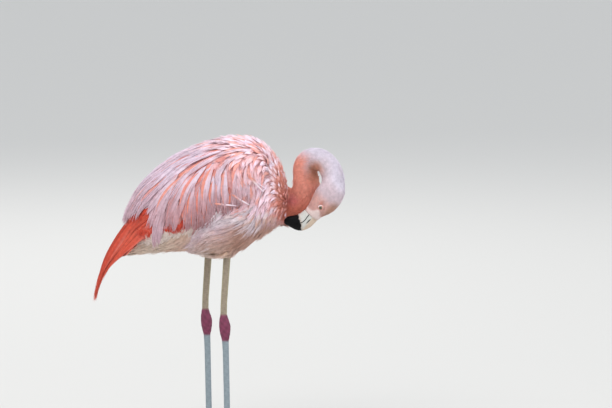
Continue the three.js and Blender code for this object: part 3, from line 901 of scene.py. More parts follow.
def combed(spots, length, rows, lift, base=0.0, turn=0.35, cling=0.3, droop=0.0, rise=1.0):
    """Feather shafts as rows of points that follow the lie of the coat and rise over the skin
    towards their tips. Returns the points and the way up at each, both (feathers, rows, 3)."""
    step = (length / (rows - 1))[:, None]
    lift = np.broadcast_to(lift, len(spots))[:, None]
    base = np.broadcast_to(base, len(spots))[:, None]
    here = spots.place + spots.normal * base
    ahead, up = spots.lie, spots.normal
    line, ups = [here], [up]
    for row in range(1, rows):
        wanted = base + lift * (row / (rows - 1)) ** rise
        there = here + ahead * step
        near, normal, lie = hide().nearest(there)
        above = dot(there - near, normal)
        grip = cling * step * (1 - abs(dot(ahead, normal)))
        there = there + normal * np.maximum(wanted - above, -grip)
        held = turn * np.exp(-np.maximum(above - wanted, 0) / (8 * MM))
        way = unit(there - here)
        ahead = unit(way * (1 - held) + lie * held + DOWN * droop * step / (10 * MM))
        up = unit(up * 0.45 + normal * 0.55)
        here = there
        line.append(here)
        ups.append(up)
    return np.stack(line, 1), np.stack(ups, 1)


def read_along(rows, at):
    """Points read between the rows of each feather, at (feathers, k) shares of its length."""
    last = rows.shape[1] - 1
    spot = np.asarray(at) * last
    low = np.clip(np.floor(spot).astype(int), 0, last - 1)
    part = (spot - low)[..., None]
    feather = np.arange(len(rows))[:, None]
    return rows[feather, low] * (1 - part) + rows[feather, low + 1] * part


def leaf(t, shoulder, taper):
    """A vane's half width along it, from 0 to 1: widest at the shoulder, pointed at the tip."""
    grown = np.sqrt(np.clip(t / shoulder, 0, 1))
    left = np.clip((t - shoulder) / (1 - shoulder), 0, 1)
    return grown * (1 - left**taper)


# ------------------------------------------------------------------ feathers as closed blades
class Blades:
    """Feathers or tufts, each a thin closed blade, gathered into one mesh."""

    def __init__(self, columns):
        self.columns = columns
        self.across = np.linspace(-1, 1, columns)
        self.batches = []

    def add(self, line, ups, half, roots, tint, camber=0.25, thick=0.35 * MM, roll=0.0):
        """line and ups are (feathers, rows, 3), half is (feathers, rows), roots is (feathers, 2)
        on the map, and tint is called with shares along and across for (feathers, rows, ring)."""
        along = unit(np.gradient(line, axis=1))
        side = unit(np.cross(ups, along))
        up = np.cross(along, side)
        roll = np.broadcast_to(roll, len(line))[:, None, None]
        side, up = (
            side * np.cos(roll) + up * np.sin(roll),
            up * np.cos(roll) - side * np.sin(roll),
        )
        rows = line.shape[1]
        inner = slice(1, rows - 1)
        half = half[:, inner, None, None]
        across = self.across[None, None, :, None]
        middle_line = line[:, inner, None]
        ring = middle_line + side[:, inner, None] * half * across
        ring = ring + up[:, inner, None] * (thick - (camber * half + thick) * across**2)
        if self.columns > 3:
            under = middle_line - up[:, inner, None] * (camber * half * 0.25 + thick * 0.2)
            ring = np.concatenate((ring, under), 2)
        self.batches.append((line[:, 0], ring, line[:, -1], roots, tint, rows))

    def add_strands(self, line, ups, wide, roots, colour, rng, *, each, splay, half, thick, **ways):
        """Thin loose strands, so many for each feather, in the colour of the one they leave."""
        chosen = rng.integers(0, len(line), int(each * len(line)))
        thin, up = strands(line, ups, wide, chosen, rng, splay, **ways)
        widths = np.full((len(chosen), 1), half) * leaf(shares(thin.shape[1]), 0.3, 1.4)
        self.add(thin, up, widths, roots[chosen], even(colour[chosen]), thick=thick)

    def mesh(self, name, rng):
        """All batches as one mesh with its tint, its barbs' map and its map of roots."""
        places, quads, thirds, tints, vanes, maps, rims = [], [], [], [], [], [], []
        first = 0
        ring_across = self.across
        if self.columns > 3:
            ring_across = np.append(ring_across, 0.0)
        size = len(ring_across)
        rim = np.where(ring_across == -1, 1, np.where(ring_across == 1, 2, 0))
        for root, ring, tip, roots, tint, rows in self.batches:
            count, inner = ring.shape[0], ring.shape[1]
            places.append(np.concatenate(
                (root[:, None], ring.reshape(count, -1, 3), tip[:, None]), 1).reshape(-1, 3))
            t = np.arange(rows) / (rows - 1)
            colours = tint(t[None, :, None], ring_across[None, None, :])
            colours = np.broadcast_to(colours, (count, rows, size, 3))
            tints.append(np.concatenate((
                colours[:, 0, size // 2][:, None],
                colours[:, 1:-1].reshape(count, -1, 3),
                colours[:, -1, size // 2][:, None],
            ), 1).reshape(-1, 3))
            v = np.concatenate(([0], np.repeat(t[1:-1], size), [1]))
            u = np.concatenate(([0], np.tile(ring_across, inner), [0])) / 2
            flat = np.stack((u, v - 0.5), 1)[None]
            maps.append((roots[:, None] + flat * PATCH).reshape(-1, 2))
            shift = rng.random((count, 1, 2)) * 40
            vanes.append((np.stack((u, v), 1)[None] + shift).reshape(-1, 2))
            each = inner * size + 2
            starts = first + np.arange(count)[:, None, None] * each
            k = np.arange(size)  # round the ring: left to right over the top, then underneath
            beside = (k + 1) % size
            row = 1 + np.arange(inner - 1)[:, None] * size
            faces = np.stack((row + k, row + beside, row + beside + size, row + k + size), -1)
            quads.append((starts + faces.reshape(1, -1, 4)).reshape(-1, 4))
            end = each - 1
            last = 1 + (inner - 1) * size
            caps = np.concatenate((
                np.stack((np.zeros(size, int), 1 + beside, 1 + k), 1),
                np.stack((np.full(size, end), last + k, last + beside), 1),
            ))
            thirds.append((starts + caps[None]).reshape(-1, 3))
            first += count * each
            rims.append(np.tile(np.concatenate(([3], np.tile(rim, inner), [3])), count))
        parts = (places, quads, thirds, tints, vanes, maps, rims)
        return joined_mesh(name, *(np.concatenate(part) for part in parts))


def joined_mesh(name, places, quads, thirds, tints, vanes, maps, rims):
    """A mesh of all blades. rims marks corners on the left (1), right (2) or both rims (3),
    where the upper and the under side meet in a crease."""
    triangles = 2 * len(quads) + len(thirds)
    if triangles > MOST_TRIANGLES:
        raise RuntimeError(f"{name} has {triangles} triangles, and the most is {MOST_TRIANGLES}")
    mesh = bpy.data.meshes.new(name)
    corners = np.concatenate((quads.ravel(), thirds.ravel())).astype(np.int32)
    sizes_of_faces = np.repeat((4, 3), (len(quads), len(thirds)))
    mesh.vertices.add(len(places))
    mesh.vertices.foreach_set("co", places.ravel().astype(np.float32))
    mesh.loops.add(len(corners))
    mesh.loops.foreach_set("vertex_index", corners)
    mesh.polygons.add(len(sizes_of_faces))
    starts = np.concatenate(([0], np.cumsum(sizes_of_faces)[:-1])).astype(np.int32)
    mesh.polygons.foreach_set("loop_start", starts)
    mesh.update(calc_edges=True)
    for title, places_on_map in (("OFBake", maps), ("Vane", vanes)):
        layer = mesh.uv_layers.new(name=title, do_init=False)
        layer.data.foreach_set("uv", places_on_map[corners].ravel().astype(np.float32))
    ends = edges_of(mesh)
    crease = mesh.attributes.new("sharp_edge", "BOOLEAN", "EDGE")
    crease.data.foreach_set("value", (rims[ends[:, 0]] & rims[ends[:, 1]]) > 0)
    paint(mesh, tints)
    print(f"{name}: {triangles} triangles")
    return mesh


def map_places(spots):
    """Where each root lies on an unwrap of the skin: how far from the bill, and how far round."""
    low, high = spots.reach.min(), spots.reach.max()
    u = (spots.reach - low) / max(high - low, 1e-6)
    return np.stack((0.004 + 0.992 * u, 0.004 + 0.992 * spots.girth), 1)


def feather_piece(name, blades, rng, slot, kind="plume", replaced=()):
    """All blades as one finished piece."""
    return new_piece(name, blades.mesh(name, rng), slot, finish_of(kind), replaced)


def tinted(spots, rng, spread=0.06):
    """Each feather's own colour: the markings at its root, a little lighter or darker."""
    is_wing = np.zeros(len(spots), bool)
    base = markings(spots.place, spots.normal, spots.reach, is_wing)
    return base * (1 + rng.normal(0, spread, (len(spots), 1)))


def even(base, tip=None, root=None):
    """A tint that shades each feather from its root to its tip."""
    def tint(t, c):
        colour = np.broadcast_to(base[:, None, None, :], (len(base), t.shape[1], c.shape[2], 3))
        if tip is not None:
            colour = colour + (tip[:, None, None, :] - colour) * ease(0.35, 1, t)[..., None]
        if root is not None:
            colour = colour + (root[:, None, None, :] - colour) * ease(0.6, 0.1, t)[..., None]
        return colour

    return tint


def strands(line, ups, wide, chosen, rng, splay, rows=6, loose=2 * MM, ahead=6 * MM):
    """Thin strands that start on chosen feathers and part from them towards their tips."""
    count = len(chosen)
    start = rng.uniform(0.25, 0.65, (count, 1))
    t = shares(rows)
    at = start + (1 - start) * t
    place, up = read_along(line[chosen], at), read_along(ups[chosen], at)
    along = unit(np.gradient(place, axis=1))
    side = np.cross(up, along)
    aside = wide[chosen, None] * rng.uniform(-0.85, 0.85, (count, 1))
    aside = aside + rng.normal(0, splay, (count, 1)) * t**1.7
    raised = 0.6 * MM + loose * rng.random((count, 1)) * t
    on = ahead * rng.random((count, 1)) * t**2
    place = place + side * aside[..., None] + up * raised[..., None] + along * on[..., None]
    return place, up


def tuft_coat(name, kind, slot, spots, rng, *, length, half, lift, rows=4, base=0.0,
              shoulder=0.35, taper=1.6, spread=0.05, wild=0.12, tip=None, root=None,
              droop=0.0, turn=0.35, colour=None, columns=3, camber=0.22, roll=0.14,
              wisps=0.0, splay=3 * MM, floor=False):
    """A coat of like tufts over the given spots, with thin loose strands on some of them."""
    count = len(spots)
    beside = np.cross(spots.normal, spots.lie)
    spots.lie = unit(spots.lie + beside * rng.normal(0, wild, (count, 1)))
    long = length * spots.scale * rng.uniform(0.8, 1.2, count)
    lifts = lift * rng.uniform(0.6, 1.25, count) * np.sqrt(spots.scale)
    line, ups = combed(spots, long, rows, lifts, base, droop=droop, turn=turn)
    if floor:
        level = belly_floor(line) - rng.uniform(0, 2.5, (count, 1)) * MM
        line[..., 2] = np.maximum(line[..., 2], level)
    wide = half * np.sqrt(spots.scale) * rng.uniform(0.8, 1.2, count)
    widths = wide[:, None] * leaf(shares(rows), shoulder, taper)
    own = tinted(spots, rng, spread) if colour is None else colour
    tips = own if tip is None else mix(own, tip, np.full(count, 0.6))
    bases = None if root is None else mix(own, root, np.full(count, 0.7))
    roots = map_places(spots)
    blades = Blades(columns)
    blades.add(
        line, ups, widths, roots, even(own, tips, bases),
        roll=rng.normal(0, roll, count), thick=0.14 * half, camber=camber,
    )
    if wisps:
        blades.add_strands(
            line, ups, wide, roots, tips * 1.05, rng,
            each=wisps, splay=splay, half=0.16 * half, thick=0.1 * half,
        )
    return feather_piece(name, blades, rng, slot, kind)


# ------------------------------------------------------------------ head, neck and body feathers
def head_size(places):
    """Tufts shrink towards the bill and leave the eyes and the lores bare."""
    local = HEAD.inwards(places) / MM
    size = 1 - 0.5 * ease(-45, -12, local[:, 0])
    bare = bareness(local)
    size = size * (1 - 0.5 * bare) * (bare < 0.9)
    for side in SIDES:
        away = local - HEAD.inwards(np.array([middle(f"eye_{side}")])) / MM
        off = np.hypot((away[:, 0] - 1.2) / 1.2, away[:, 2] / 0.95)
        same_side = (places - HEAD.gape) @ HEAD.across * SIDES[side] > 0
        size = np.where(same_side, size * (off > 4.3) * (0.5 + 0.5 * ease(4, 10, off)), size)
    return size


def make_head_down():
    """Short down of the head, which leaves the lores and the eyes bare."""
    rng = draws("head")
    spots = scattered(hide().on("head"), 0.82 * MM, 1.55 * MM, rng, head_size)
    tuft_coat(
        "head_down", "down", "head_plumage", spots, rng,
        length=sizes().head_tuft, half=0.68 * MM, lift=1.1 * MM, spread=0.025,
    )


def make_neck_down():
    """Smooth down of the upper neck, and rougher down where it meets the breast."""
    rng = draws("neck")
    skin = hide()
    spots = scattered(skin.on("neck_arch", "neck_drop"), 1.0 * MM, 2.3 * MM, rng)
    tuft_coat(
        "upper_neck_down", "down", "neck_plumage", spots, rng,
        length=sizes().neck_tuft, half=0.85 * MM, lift=2.1 * MM, spread=0.025,
    )
    spots = scattered(skin.on("neck_rise", "neck_base"), 1.2 * MM, 2.7 * MM, rng)
    spots.scale = 1 + 0.7 * ease(0.165, 0.2, spots.reach)
    tuft_coat(
        "lower_neck_down", "down", "neck_plumage", spots, rng,
        length=sizes().neck_tuft * 1.15, half=1.0 * MM, lift=2.6 * MM, wild=0.14, spread=0.03,
        wisps=0.3, splay=1 * MM,
    )


# Limits along X of the groups of body feathers. Neighbours overlap a little.
BREAST_REAR = 0.085
FLANK_REAR = -0.036
UNDERTAIL_FRONT = -0.034
FRINGE = (-0.040, 0.005)
FRINGE_TOP = 0.475
VEIL = (0.004, 0.082)


def over_belly_floor():
    """Which triangles of the skin lie over the belly's lower edge."""
    middles = hide().middle
    return middles[:, 2] > belly_floor(middles) - 1 * MM


def make_breast(rng):
    """Ruffled feathers of the breast, stained low down."""
    skin = hide()
    chosen = skin.on("trunk") & (skin.middle[:, 0] > BREAST_REAR)
    spots = scattered(chosen, 2.3 * MM, 5 * MM, rng)
    z = spots.place[:, 2]
    pale = ease(0.5, 0.485, z) * ease(0.47, 0.48, z) * (rng.random(len(spots)) < 0.6)
    own = mix(tinted(spots, rng), hue("pale"), 0.6 * pale)
    # painted shade: darker peach, and ochre on some feathers, low on the breast where it turns under
    own = mix(own, hue("peach") * 0.82, 0.95 * ease(0.492, 0.472, z))
    own = mix(own, hue("ochre"), 0.6 * ease(0.455, 0.44, z) * rng.random(len(spots)))
    tuft_coat(
        "breast_feathers", "soft", "body_plumage", spots, rng, rows=6,
        length=25 * MM, half=2.2 * MM, lift=4.5 * MM, wild=0.18, root=hue("brow"),
        colour=own, wisps=1.0, splay=2 * MM,
    )


def make_flank(side, rng):
    """Soft feathers of the flank, from the breast to the legs."""
    skin = hide()
    x, y, z = skin.middle.T
    flank = skin.on("trunk") & over_belly_floor() & (x <= BREAST_REAR) & (x > FLANK_REAR)
    spots = scattered(flank & (y * SIDES[side] >= 0), 2.7 * MM, 8 * MM, rng)
    x, z = spots.place[:, 0], spots.place[:, 2]
    low, high = ease(0.478, 0.435, z), ease(0.468, 0.485, z)
    # painted shade: some low feathers turn ochre
    own = mix(tinted(spots, rng), hue("ochre"), 0.4 * low * rng.random(len(spots)) ** 2)
    own = mix(own, hue("snow"), 0.8 * high)
    behind = ease(-0.005, -0.04, x)
    low = low * (1 - 0.75 * behind)
    own = mix(own, hue("snow"), 0.6 * behind)
    # painted shade: darker peach low at the front, where the breast turns under
    front = 0.95 * ease(0.03, 0.06, x) * ease(0.492, 0.472, z)
    own = mix(own, hue("peach") * 0.82, front)
    ends = mix(mix(hue("pale"), hue("cream"), 0.6 * low), hue("snow"), 0.5 * high)
    ends = mix(ends, hue("peach") * 0.82, front)
    tuft_coat(
        f"flank_feathers_{side}", "soft", "body_plumage", spots, rng, rows=7,
        length=sizes().flank_length, half=2.9 * MM, lift=4.8 * MM, wild=0.11, colour=own,
        tip=ends, droop=0.02, camber=0.12, roll=0.08, wisps=1.6, floor=True,
    )


def make_fringe(side, rng):
    """Pale loose feathers between the flank and the cone under the tail."""
    skin = hide()
    x, y, z = skin.middle.T
    rear = skin.on("trunk") & over_belly_floor() & (x > FRINGE[0]) & (x < FRINGE[1])
    rear = rear & (y * SIDES[side] > 8 * MM) & (z < FRINGE_TOP)
    spots = scattered(rear, 5 * MM, 9 * MM, rng)
    spots.lie = unit(spots.lie + DOWN * 0.1)
    tuft_coat(
        f"flank_fringe_{side}", "soft", "body_plumage", spots, rng, rows=8,
        length=32 * MM, half=2.8 * MM, lift=4.5 * MM, wild=0.12, base=1.5 * MM,
        tip=hue("snow"), droop=0.02, camber=0.15, wisps=1.6, splay=3 * MM, turn=0.3,
        floor=True,
    )


def make_veil(side, rng):
    """Pale flank feathers that cover the lower front of the wing."""
    skin = hide()
    x, _, z = skin.middle.T
    veil = skin.on(f"wing_{side}") & (x > VEIL[0]) & (x < VEIL[1]) & (z < veil_top(x) + 8 * MM)
    spots = scattered(veil, 3.2 * MM, 9 * MM, rng)
    spots.lie = unit(flat_on(spots.lie * 0.25 + BACK + DOWN * 0.22, spots.normal))
    own = mix(hue("snow"), hue("pale"), rng.random(len(spots)) * 0.8) * 1.16
    tuft_coat(
        f"flank_veil_{side}", "soft", "body_plumage", spots, rng, rows=8,
        length=40 * MM, half=2.8 * MM, lift=6.5 * MM, wild=0.12, base=2 * MM, colour=own,
        droop=0.03, camber=0.15, wisps=1.6, splay=2.5 * MM, turn=0.15,
    )


def make_undertail(rng):
    """Smooth feathers of the cone under the tail."""
    skin = hide()
    cone = skin.on("trunk") & (skin.middle[:, 0] <= UNDERTAIL_FRONT)
    spots = scattered(cone, 3.4 * MM, 8.5 * MM, rng)
    tuft_coat(
        "undertail_feathers", "soft", "tail_plumage", spots, rng, rows=6,
        length=38 * MM, half=3.8 * MM, lift=3.5 * MM, spread=0.03, camber=0.12, roll=0.06,
        wisps=1.2, wild=0.08, floor=True,
    )


def make_thigh(side, rng):
    """Short feathers round the top of the leg."""
    skin = hide()
    off = (skin.middle - middle(f"thigh_{side}")) / np.array((34 * MM, 26 * MM, 30 * MM))
    around = skin.on(f"thigh_{side}") | (skin.on("trunk") & ((off**2).sum(1) < 1))
    spots = scattered(around & over_belly_floor(), 1.5 * MM, 3.4 * MM, rng)
    spots.lie = unit(flat_on(spots.lie + DOWN * 0.3 + BACK * 0.8, spots.normal))
    tuft_coat(
        f"thigh_feathers_{side}", "soft", "body_plumage", spots, rng, rows=6,
        length=10 * MM, half=1.5 * MM, lift=1.6 * MM, base=0.6 * MM, floor=True,
    )


def make_body_feathers():
    """Breast, flanks, the cone under the tail and the thighs, from one run of draws."""
    rng = draws("body")
    make_breast(rng)
    for side in SIDES:
        make_flank(side, rng)
        make_fringe(side, rng)
        make_veil(side, rng)
    make_undertail(rng)
    for side in SIDES:
        make_thigh(side, rng)


# ------------------------------------------------------------------ wings
def stopped_at_edge(line, ups, rng):
    """Cuts each feather where it would hang below the wing's lower edge. Feathers that would
    lose most of their length are dropped."""
    low = plume_edge(line[:, :, 0]) - rng.uniform(-0.4, 1, (len(line), 1)) * 7 * MM
    under = line[:, :, 2] < low
    rows = line.shape[1]
    first = np.where(under.any(1), under.argmax(1), rows - 1)
    share = first / (rows - 1)
    kept = share > 0.42
    line, ups, share = line[kept], ups[kept], share[kept]
    at = shares(rows) * share[:, None]
    return read_along(line, at), read_along(ups, at), kept


def make_wing_coverts(side):
    """Short feathers that show between the plumes, coral on the middle of the wing."""
    rng = draws(f"coverts_{side}")
    spots = scattered(hide().on(f"wing_{side}"), 5 * MM, 9.5 * MM, rng)
    x, z = spots.place[:, 0], spots.place[:, 2]
    count = len(spots)
    below = ease(8 * MM, -4 * MM, z - plume_edge(x)) * ease(-0.045, -0.055, x)
    spots.scale = 1 - 0.5 * below
    tips = spots.place + spots.lie * 0.85 * sizes().covert_length * spots.scale[:, None]
    base = markings(tips, spots.normal, spots.reach, np.ones(count, bool))
    warm = mix(hue("coral"), hue("salmon"), rng.random(count) * 0.7)
    strong = ease(1.3, 0.3, np.hypot((x + 0.02) / 0.085, (WING.top(x) - z - 0.05) / 0.075))
    own = mix(base, warm, strong * (tips[:, 2] > plume_edge(x)) * rng.uniform(0.4, 1, count))
    rosy = mix(hue("salmon"), hue("magenta"), rng.random(count))
    own = mix(own, rosy, ease(0.03, 0.06, x) * ease(0.61, 0.57, z) * rng.uniform(0.1, 0.7, count))
    veiled = 0.8 * ease(4 * MM, -4 * MM, tips[:, 2] - veil_top(x)) * ease(-0.02, 0, x)
    own = mix(own, hue("snow"), veiled)
    own = own * (1 + rng.normal(0, 0.05, (count, 1)))
    at_root = markings(spots.place, spots.normal, spots.reach, np.ones(count, bool))
    return tuft_coat(
        f"wing_coverts_{side}", "soft", "wing_plumage", spots, rng, rows=6,
        length=sizes().covert_length, half=5.2 * MM, lift=2.6 * MM, wild=0.12, colour=own,
        shoulder=0.5, taper=2.2, camber=0.15, roll=0.07, wisps=0.3, root=mix(own, at_root, below),
    )


QUILLS = (  # X and Z of the root and of the tip, millimetres
    (53, 565, 84, 530), (58, 562, 88, 534), (24, 531, 54, 510), (29, 526, 60, 507),
    (-8, 514, 36, 508),
)


def make_quills(side, rng):
    """A few straight pale quills that lie loose over the shoulder."""
    count, sign = len(QUILLS), SIDES[side]
    ends = np.array(QUILLS)[:, None] * MM
    if side == "left":
        ends = ends + rng.normal(0, 4 * MM, ends.shape)
    t = shares(9)
    path = mix(ends[..., :2], ends[..., 2:], np.repeat(t, count, 0))
    line = np.stack((path[..., 0], np.zeros(path.shape[:2]), path[..., 1]), -1)
    line = on_outside(line, sign, 9 * MM)
    out = sign * line[..., 1]
    chord = out[:, :1] + (out[:, -1:] - out[:, :1]) * t
    line[..., 1] = sign * (chord + (out - chord).max(1, keepdims=True))
    ups = np.broadcast_to(LEFT * sign, line.shape)
    widths = np.full((count, 1), 1.8 * MM) * leaf(t, 0.2, 2.5)
    roots = np.stack((0.1 + 0.1 * np.arange(count), np.full(count, 0.5)), 1)
    own = mix(hue("pale"), hue("snow"), rng.random(count)) * 1.12
    tint = even(own, root=np.broadcast_to(hue("salmon"), own.shape))
    blades = Blades(5)
    blades.add(line, ups, widths, roots, tint, thick=0.7 * MM, camber=0.1)
    feather_piece(f"loose_quills_{side}", blades, rng, "wing_plumage")


def make_shoulder(side):
    """Ruffled pink feathers on the front of the wing."""
    rng = draws(f"shoulder_{side}")
    skin = hide()
    x, y, z = skin.middle.T
    front = skin.on("trunk") & (y * SIDES[side] > 0) & (z > 0.487) & (WING.front(z) - x > 7 * MM)
    spots = scattered((skin.on(f"wing_{side}") | front) & (x > 0.028), 5.6 * MM, 9 * MM, rng)
    at_front = ease(0.085, 0.115, spots.place[:, 0])
    at_edge = ease(0.104, 0.118, spots.place[:, 0])
    spots.scale = 1 - 0.35 * at_front - 0.3 * at_edge
    count = len(spots)
    low = ease(0.535, 0.50, spots.place[:, 2])
    own = mix(hue("pale") * 1.08, hue("shoulder") * 1.04, rng.random(count) * 0.9)
    own = mix(own, hue("salmon"), 0.75 * (rng.random(count) < 0.16 + 0.75 * at_edge + 0.08 * low))
    # painted light: feathers at the front and on top are made brighter, as where light falls
    lit = np.maximum(ease(0.065, 0.09, spots.place[:, 0]), ease(0.58, 0.6, spots.place[:, 2]))
    own = np.minimum(own * (1 + (0.14 * at_front + 0.24 * lit) * (1 - low))[:, None], 0.97)
    veiled = ease(4 * MM, -4 * MM, spots.place[:, 2] - veil_top(spots.place[:, 0]))
    own = mix(own, hue("snow"), 0.8 * veiled * (1 - at_front))
    tips = spots.place[:, 2] + spots.lie[:, 2] * 22 * MM * spots.scale
    shaded = ease(0.486, 0.468, tips) * ease(0.045, 0.065, spots.place[:, 0])
    own = mix(own, hue("peach") * 0.85, 0.85 * shaded)
    make_quills(side, rng)
    return tuft_coat(
        f"shoulder_feathers_{side}", "plume", "wing_plumage", spots, rng, rows=7, columns=5,
        length=28 * MM, half=4.8 * MM, lift=6 * MM - 3 * MM * at_front,
        wild=(0.32 - 0.2 * at_front)[:, None], colour=own, base=2 * MM,
        shoulder=0.42, taper=1.3, camber=0.22, roll=0.2, root=hue("salmon") * 1.05, wisps=2.4,
        splay=2 * MM,
    )


def add_streaks(blades, plumes, roots, x, upper, rng):
    """Coral streaks along the upper edge of some plumes."""
    line, ups, wide = plumes
    likely = (0.3 + 0.7 * ease(-0.13, -0.05, x)) * (1 - 0.5 * ease(0.02, 0.05, x))
    chosen = np.flatnonzero(rng.random(len(line)) < likely)
    few = len(chosen)
    start, end = rng.uniform(0.02, 0.2, (few, 1)), rng.uniform(0.55, 0.93, (few, 1))
    t = shares(9)
    at = start + (end - start) * t
    place, up = read_along(line[chosen], at), read_along(ups[chosen], at)
    aside = np.cross(up, unit(np.gradient(place, axis=1)))
    out = upper * (wide[chosen] * rng.uniform(0.45, 0.8, few))[:, None, None]
    streak = place + aside * out * leaf(t, 0.5, 4)[..., None] + up * 0.35 * MM
    widths = rng.uniform(1.9, 3.9, (few, 1)) * MM * leaf(t, 0.45, 1.5)
    red = mix(hue("coral"), hue("salmon"), rng.random(few) * 0.9)
    red = mix(red, hue("pale"), rng.random(few) * 0.25)
    blades.add(streak, up, widths, roots[chosen], even(red), camber=0.2, thick=0.3 * MM)


def make_wing_plumes(side):
    """Long silky plumes over the wing, pale with a coral edge near the base."""
    rng = draws(f"plumes_{side}")
    skin = hide()
    x, z = skin.middle[:, 0], skin.middle[:, 2]
    room = skin.on(f"wing_{side}") & (z > plume_edge(x) + 24 * MM) & (x < 0.052)
    spots = scattered(room, 9.5 * MM, 23 * MM, rng)
    x, count, rows = spots.place[:, 0], len(spots), 13
    beside = np.cross(spots.normal, spots.lie)
    spots.lie = unit(spots.lie + beside * rng.normal(0, 0.08, (count, 1)))
    share = 0.5 + 0.5 * ease(0.05, -0.03, x)
    length = sizes().plume_length * share * rng.uniform(0.85, 1.15, count)
    crest = ease(50 * MM, 18 * MM, WING.top(x) - spots.place[:, 2])
    lift = rng.uniform(3.5, 6.5, count) * MM * (1 - 0.35 * crest)
    line, ups = combed(spots, length, rows, lift, 3.2 * MM, turn=0.22, droop=0.02, rise=0.8)
    line, ups, kept = stopped_at_edge(line, ups, rng)
    spots = spots.taken(kept)
    x, count = spots.place[:, 0], len(spots)
    wide = sizes().plume_half * (0.6 + 0.4 * ease(0.05, -0.03, x)) * rng.uniform(0.8, 1.15, count)
    ragged = 1 + rng.normal(0, 0.03, (count, rows))
    widths = wide[:, None] * leaf(shares(rows), 0.4, 2.2) * ragged
    pale = mix(hue("pale"), hue("lilac"), rng.random(count) * 0.7)
    pale = mix(pale, hue("shoulder"), ease(0.0, 0.05, x) * 0.45)
    pale = pale * (1 + rng.normal(0, 0.035, (count, 1)))
    warm = mix(hue("coral"), hue("salmon"), rng.random(count) * 0.6)
    strong = rng.random(count) * (0.25 + 0.5 * ease(-0.15, -0.04, x))
    dim = wing_shade(line[..., 0], line[..., 2]) * rng.uniform(0.75, 1, (count, 1))
    blush = 0.55 * rng.random(count) * ease(-0.15, -0.08, x)
    upper = SIDES[side]

    def tint(t, c):
        edge = ease(0.2, 0.9, c * upper) * ease(0.95, 0.55, t)
        base = ease(0.35, 0.08, t) * 0.8
        share = np.maximum(edge, base) * strong[:, None, None]
        flushed = mix(pale, hue("rose"), blush)[:, None, None, :]
        body = mix(pale[:, None, None, :], flushed, ease(0.25, 0.9, t) + 0 * c)
        body = mix(body, hue("dusk"), 0.95 * dim[..., None] + 0 * c)
        return mix(body, warm[:, None, None, :], share)

    roots = map_places(spots)
    blades = Blades(5)
    blades.add(line, ups, widths, roots, tint, camber=0.22, thick=0.4 * MM,
               roll=rng.normal(0, 0.07, count))
    add_streaks(blades, (line, ups, wide), roots, x, upper, rng)
    blades.add_strands(
        line, ups, wide, roots, mix(pale, hue("dusk"), 0.8 * dim[:, -2]), rng,
        each=6, splay=4 * MM, half=0.7 * MM, thick=0.3 * MM, rows=8, loose=2.5 * MM,
    )
    feather_piece(f"wing_plumes_{side}", blades, rng, "wing_plumage")


# ------------------------------------------------------------------ rear plumes and tail
def middle_line(node, axis, count):
    """Middles and half sizes of a CAD node's slices along an axis, from its higher end."""
    points = points_of(NODES[node].data)
    order = -points[:, axis]
    edges = np.linspace(order.min(), order.max(), count + 1)
    middles, halves = [], []
    for low, high in zip(edges[:-1], edges[1:]):
        near = points[(order >= low - 4 * MM) & (order <= high + 4 * MM)]
        middles.append((near.min(0) + near.max(0)) / 2)
        halves.append((near.max(0) - near.min(0)) / 2)
    return np.array(middles), np.array(halves)


def resampled(line, count):
    """A polyline as so many points, evenly apart."""
    steps = np.linalg.norm(np.diff(line, axis=0), axis=1)
    along = np.concatenate(([0], np.cumsum(steps)))
    at = np.linspace(0, along[-1], count)
    return np.stack([np.interp(at, along, column) for column in line.T], 1)


REAR_BACK_EDGE = (  # X and Z of the longest plume's path
    (-0.143, 0.494), (-0.166, 0.469), (-0.186, 0.440), (-0.207, 0.406), (-0.2215, 0.371),
    (-0.2300, 0.338), (-0.2322, 0.321),
)
REAR_FRONT_EDGE = (  # the same for the foremost
    (-0.100, 0.483), (-0.120, 0.466), (-0.137, 0.4505), (-0.152, 0.4355), (-0.168, 0.4185),
    (-0.183, 0.406), (-0.196, 0.396), (-0.207, 0.383), (-0.216, 0.367), (-0.2245, 0.348),
    (-0.2300, 0.331),
)


def on_outside(place, sign, gap):
    """Moves points sideways until they clear the skin by a gap."""
    moved = place.copy()
    tree = hide().tree
    for row in moved.reshape(-1, 3):
        met = tree.ray_cast((row[0], sign * 0.3, row[2]), (0, -sign, 0))[0]
        if met is not None and abs(row[1]) < abs(met.y) + gap:
            row[1] = met.y + sign * gap
    return moved


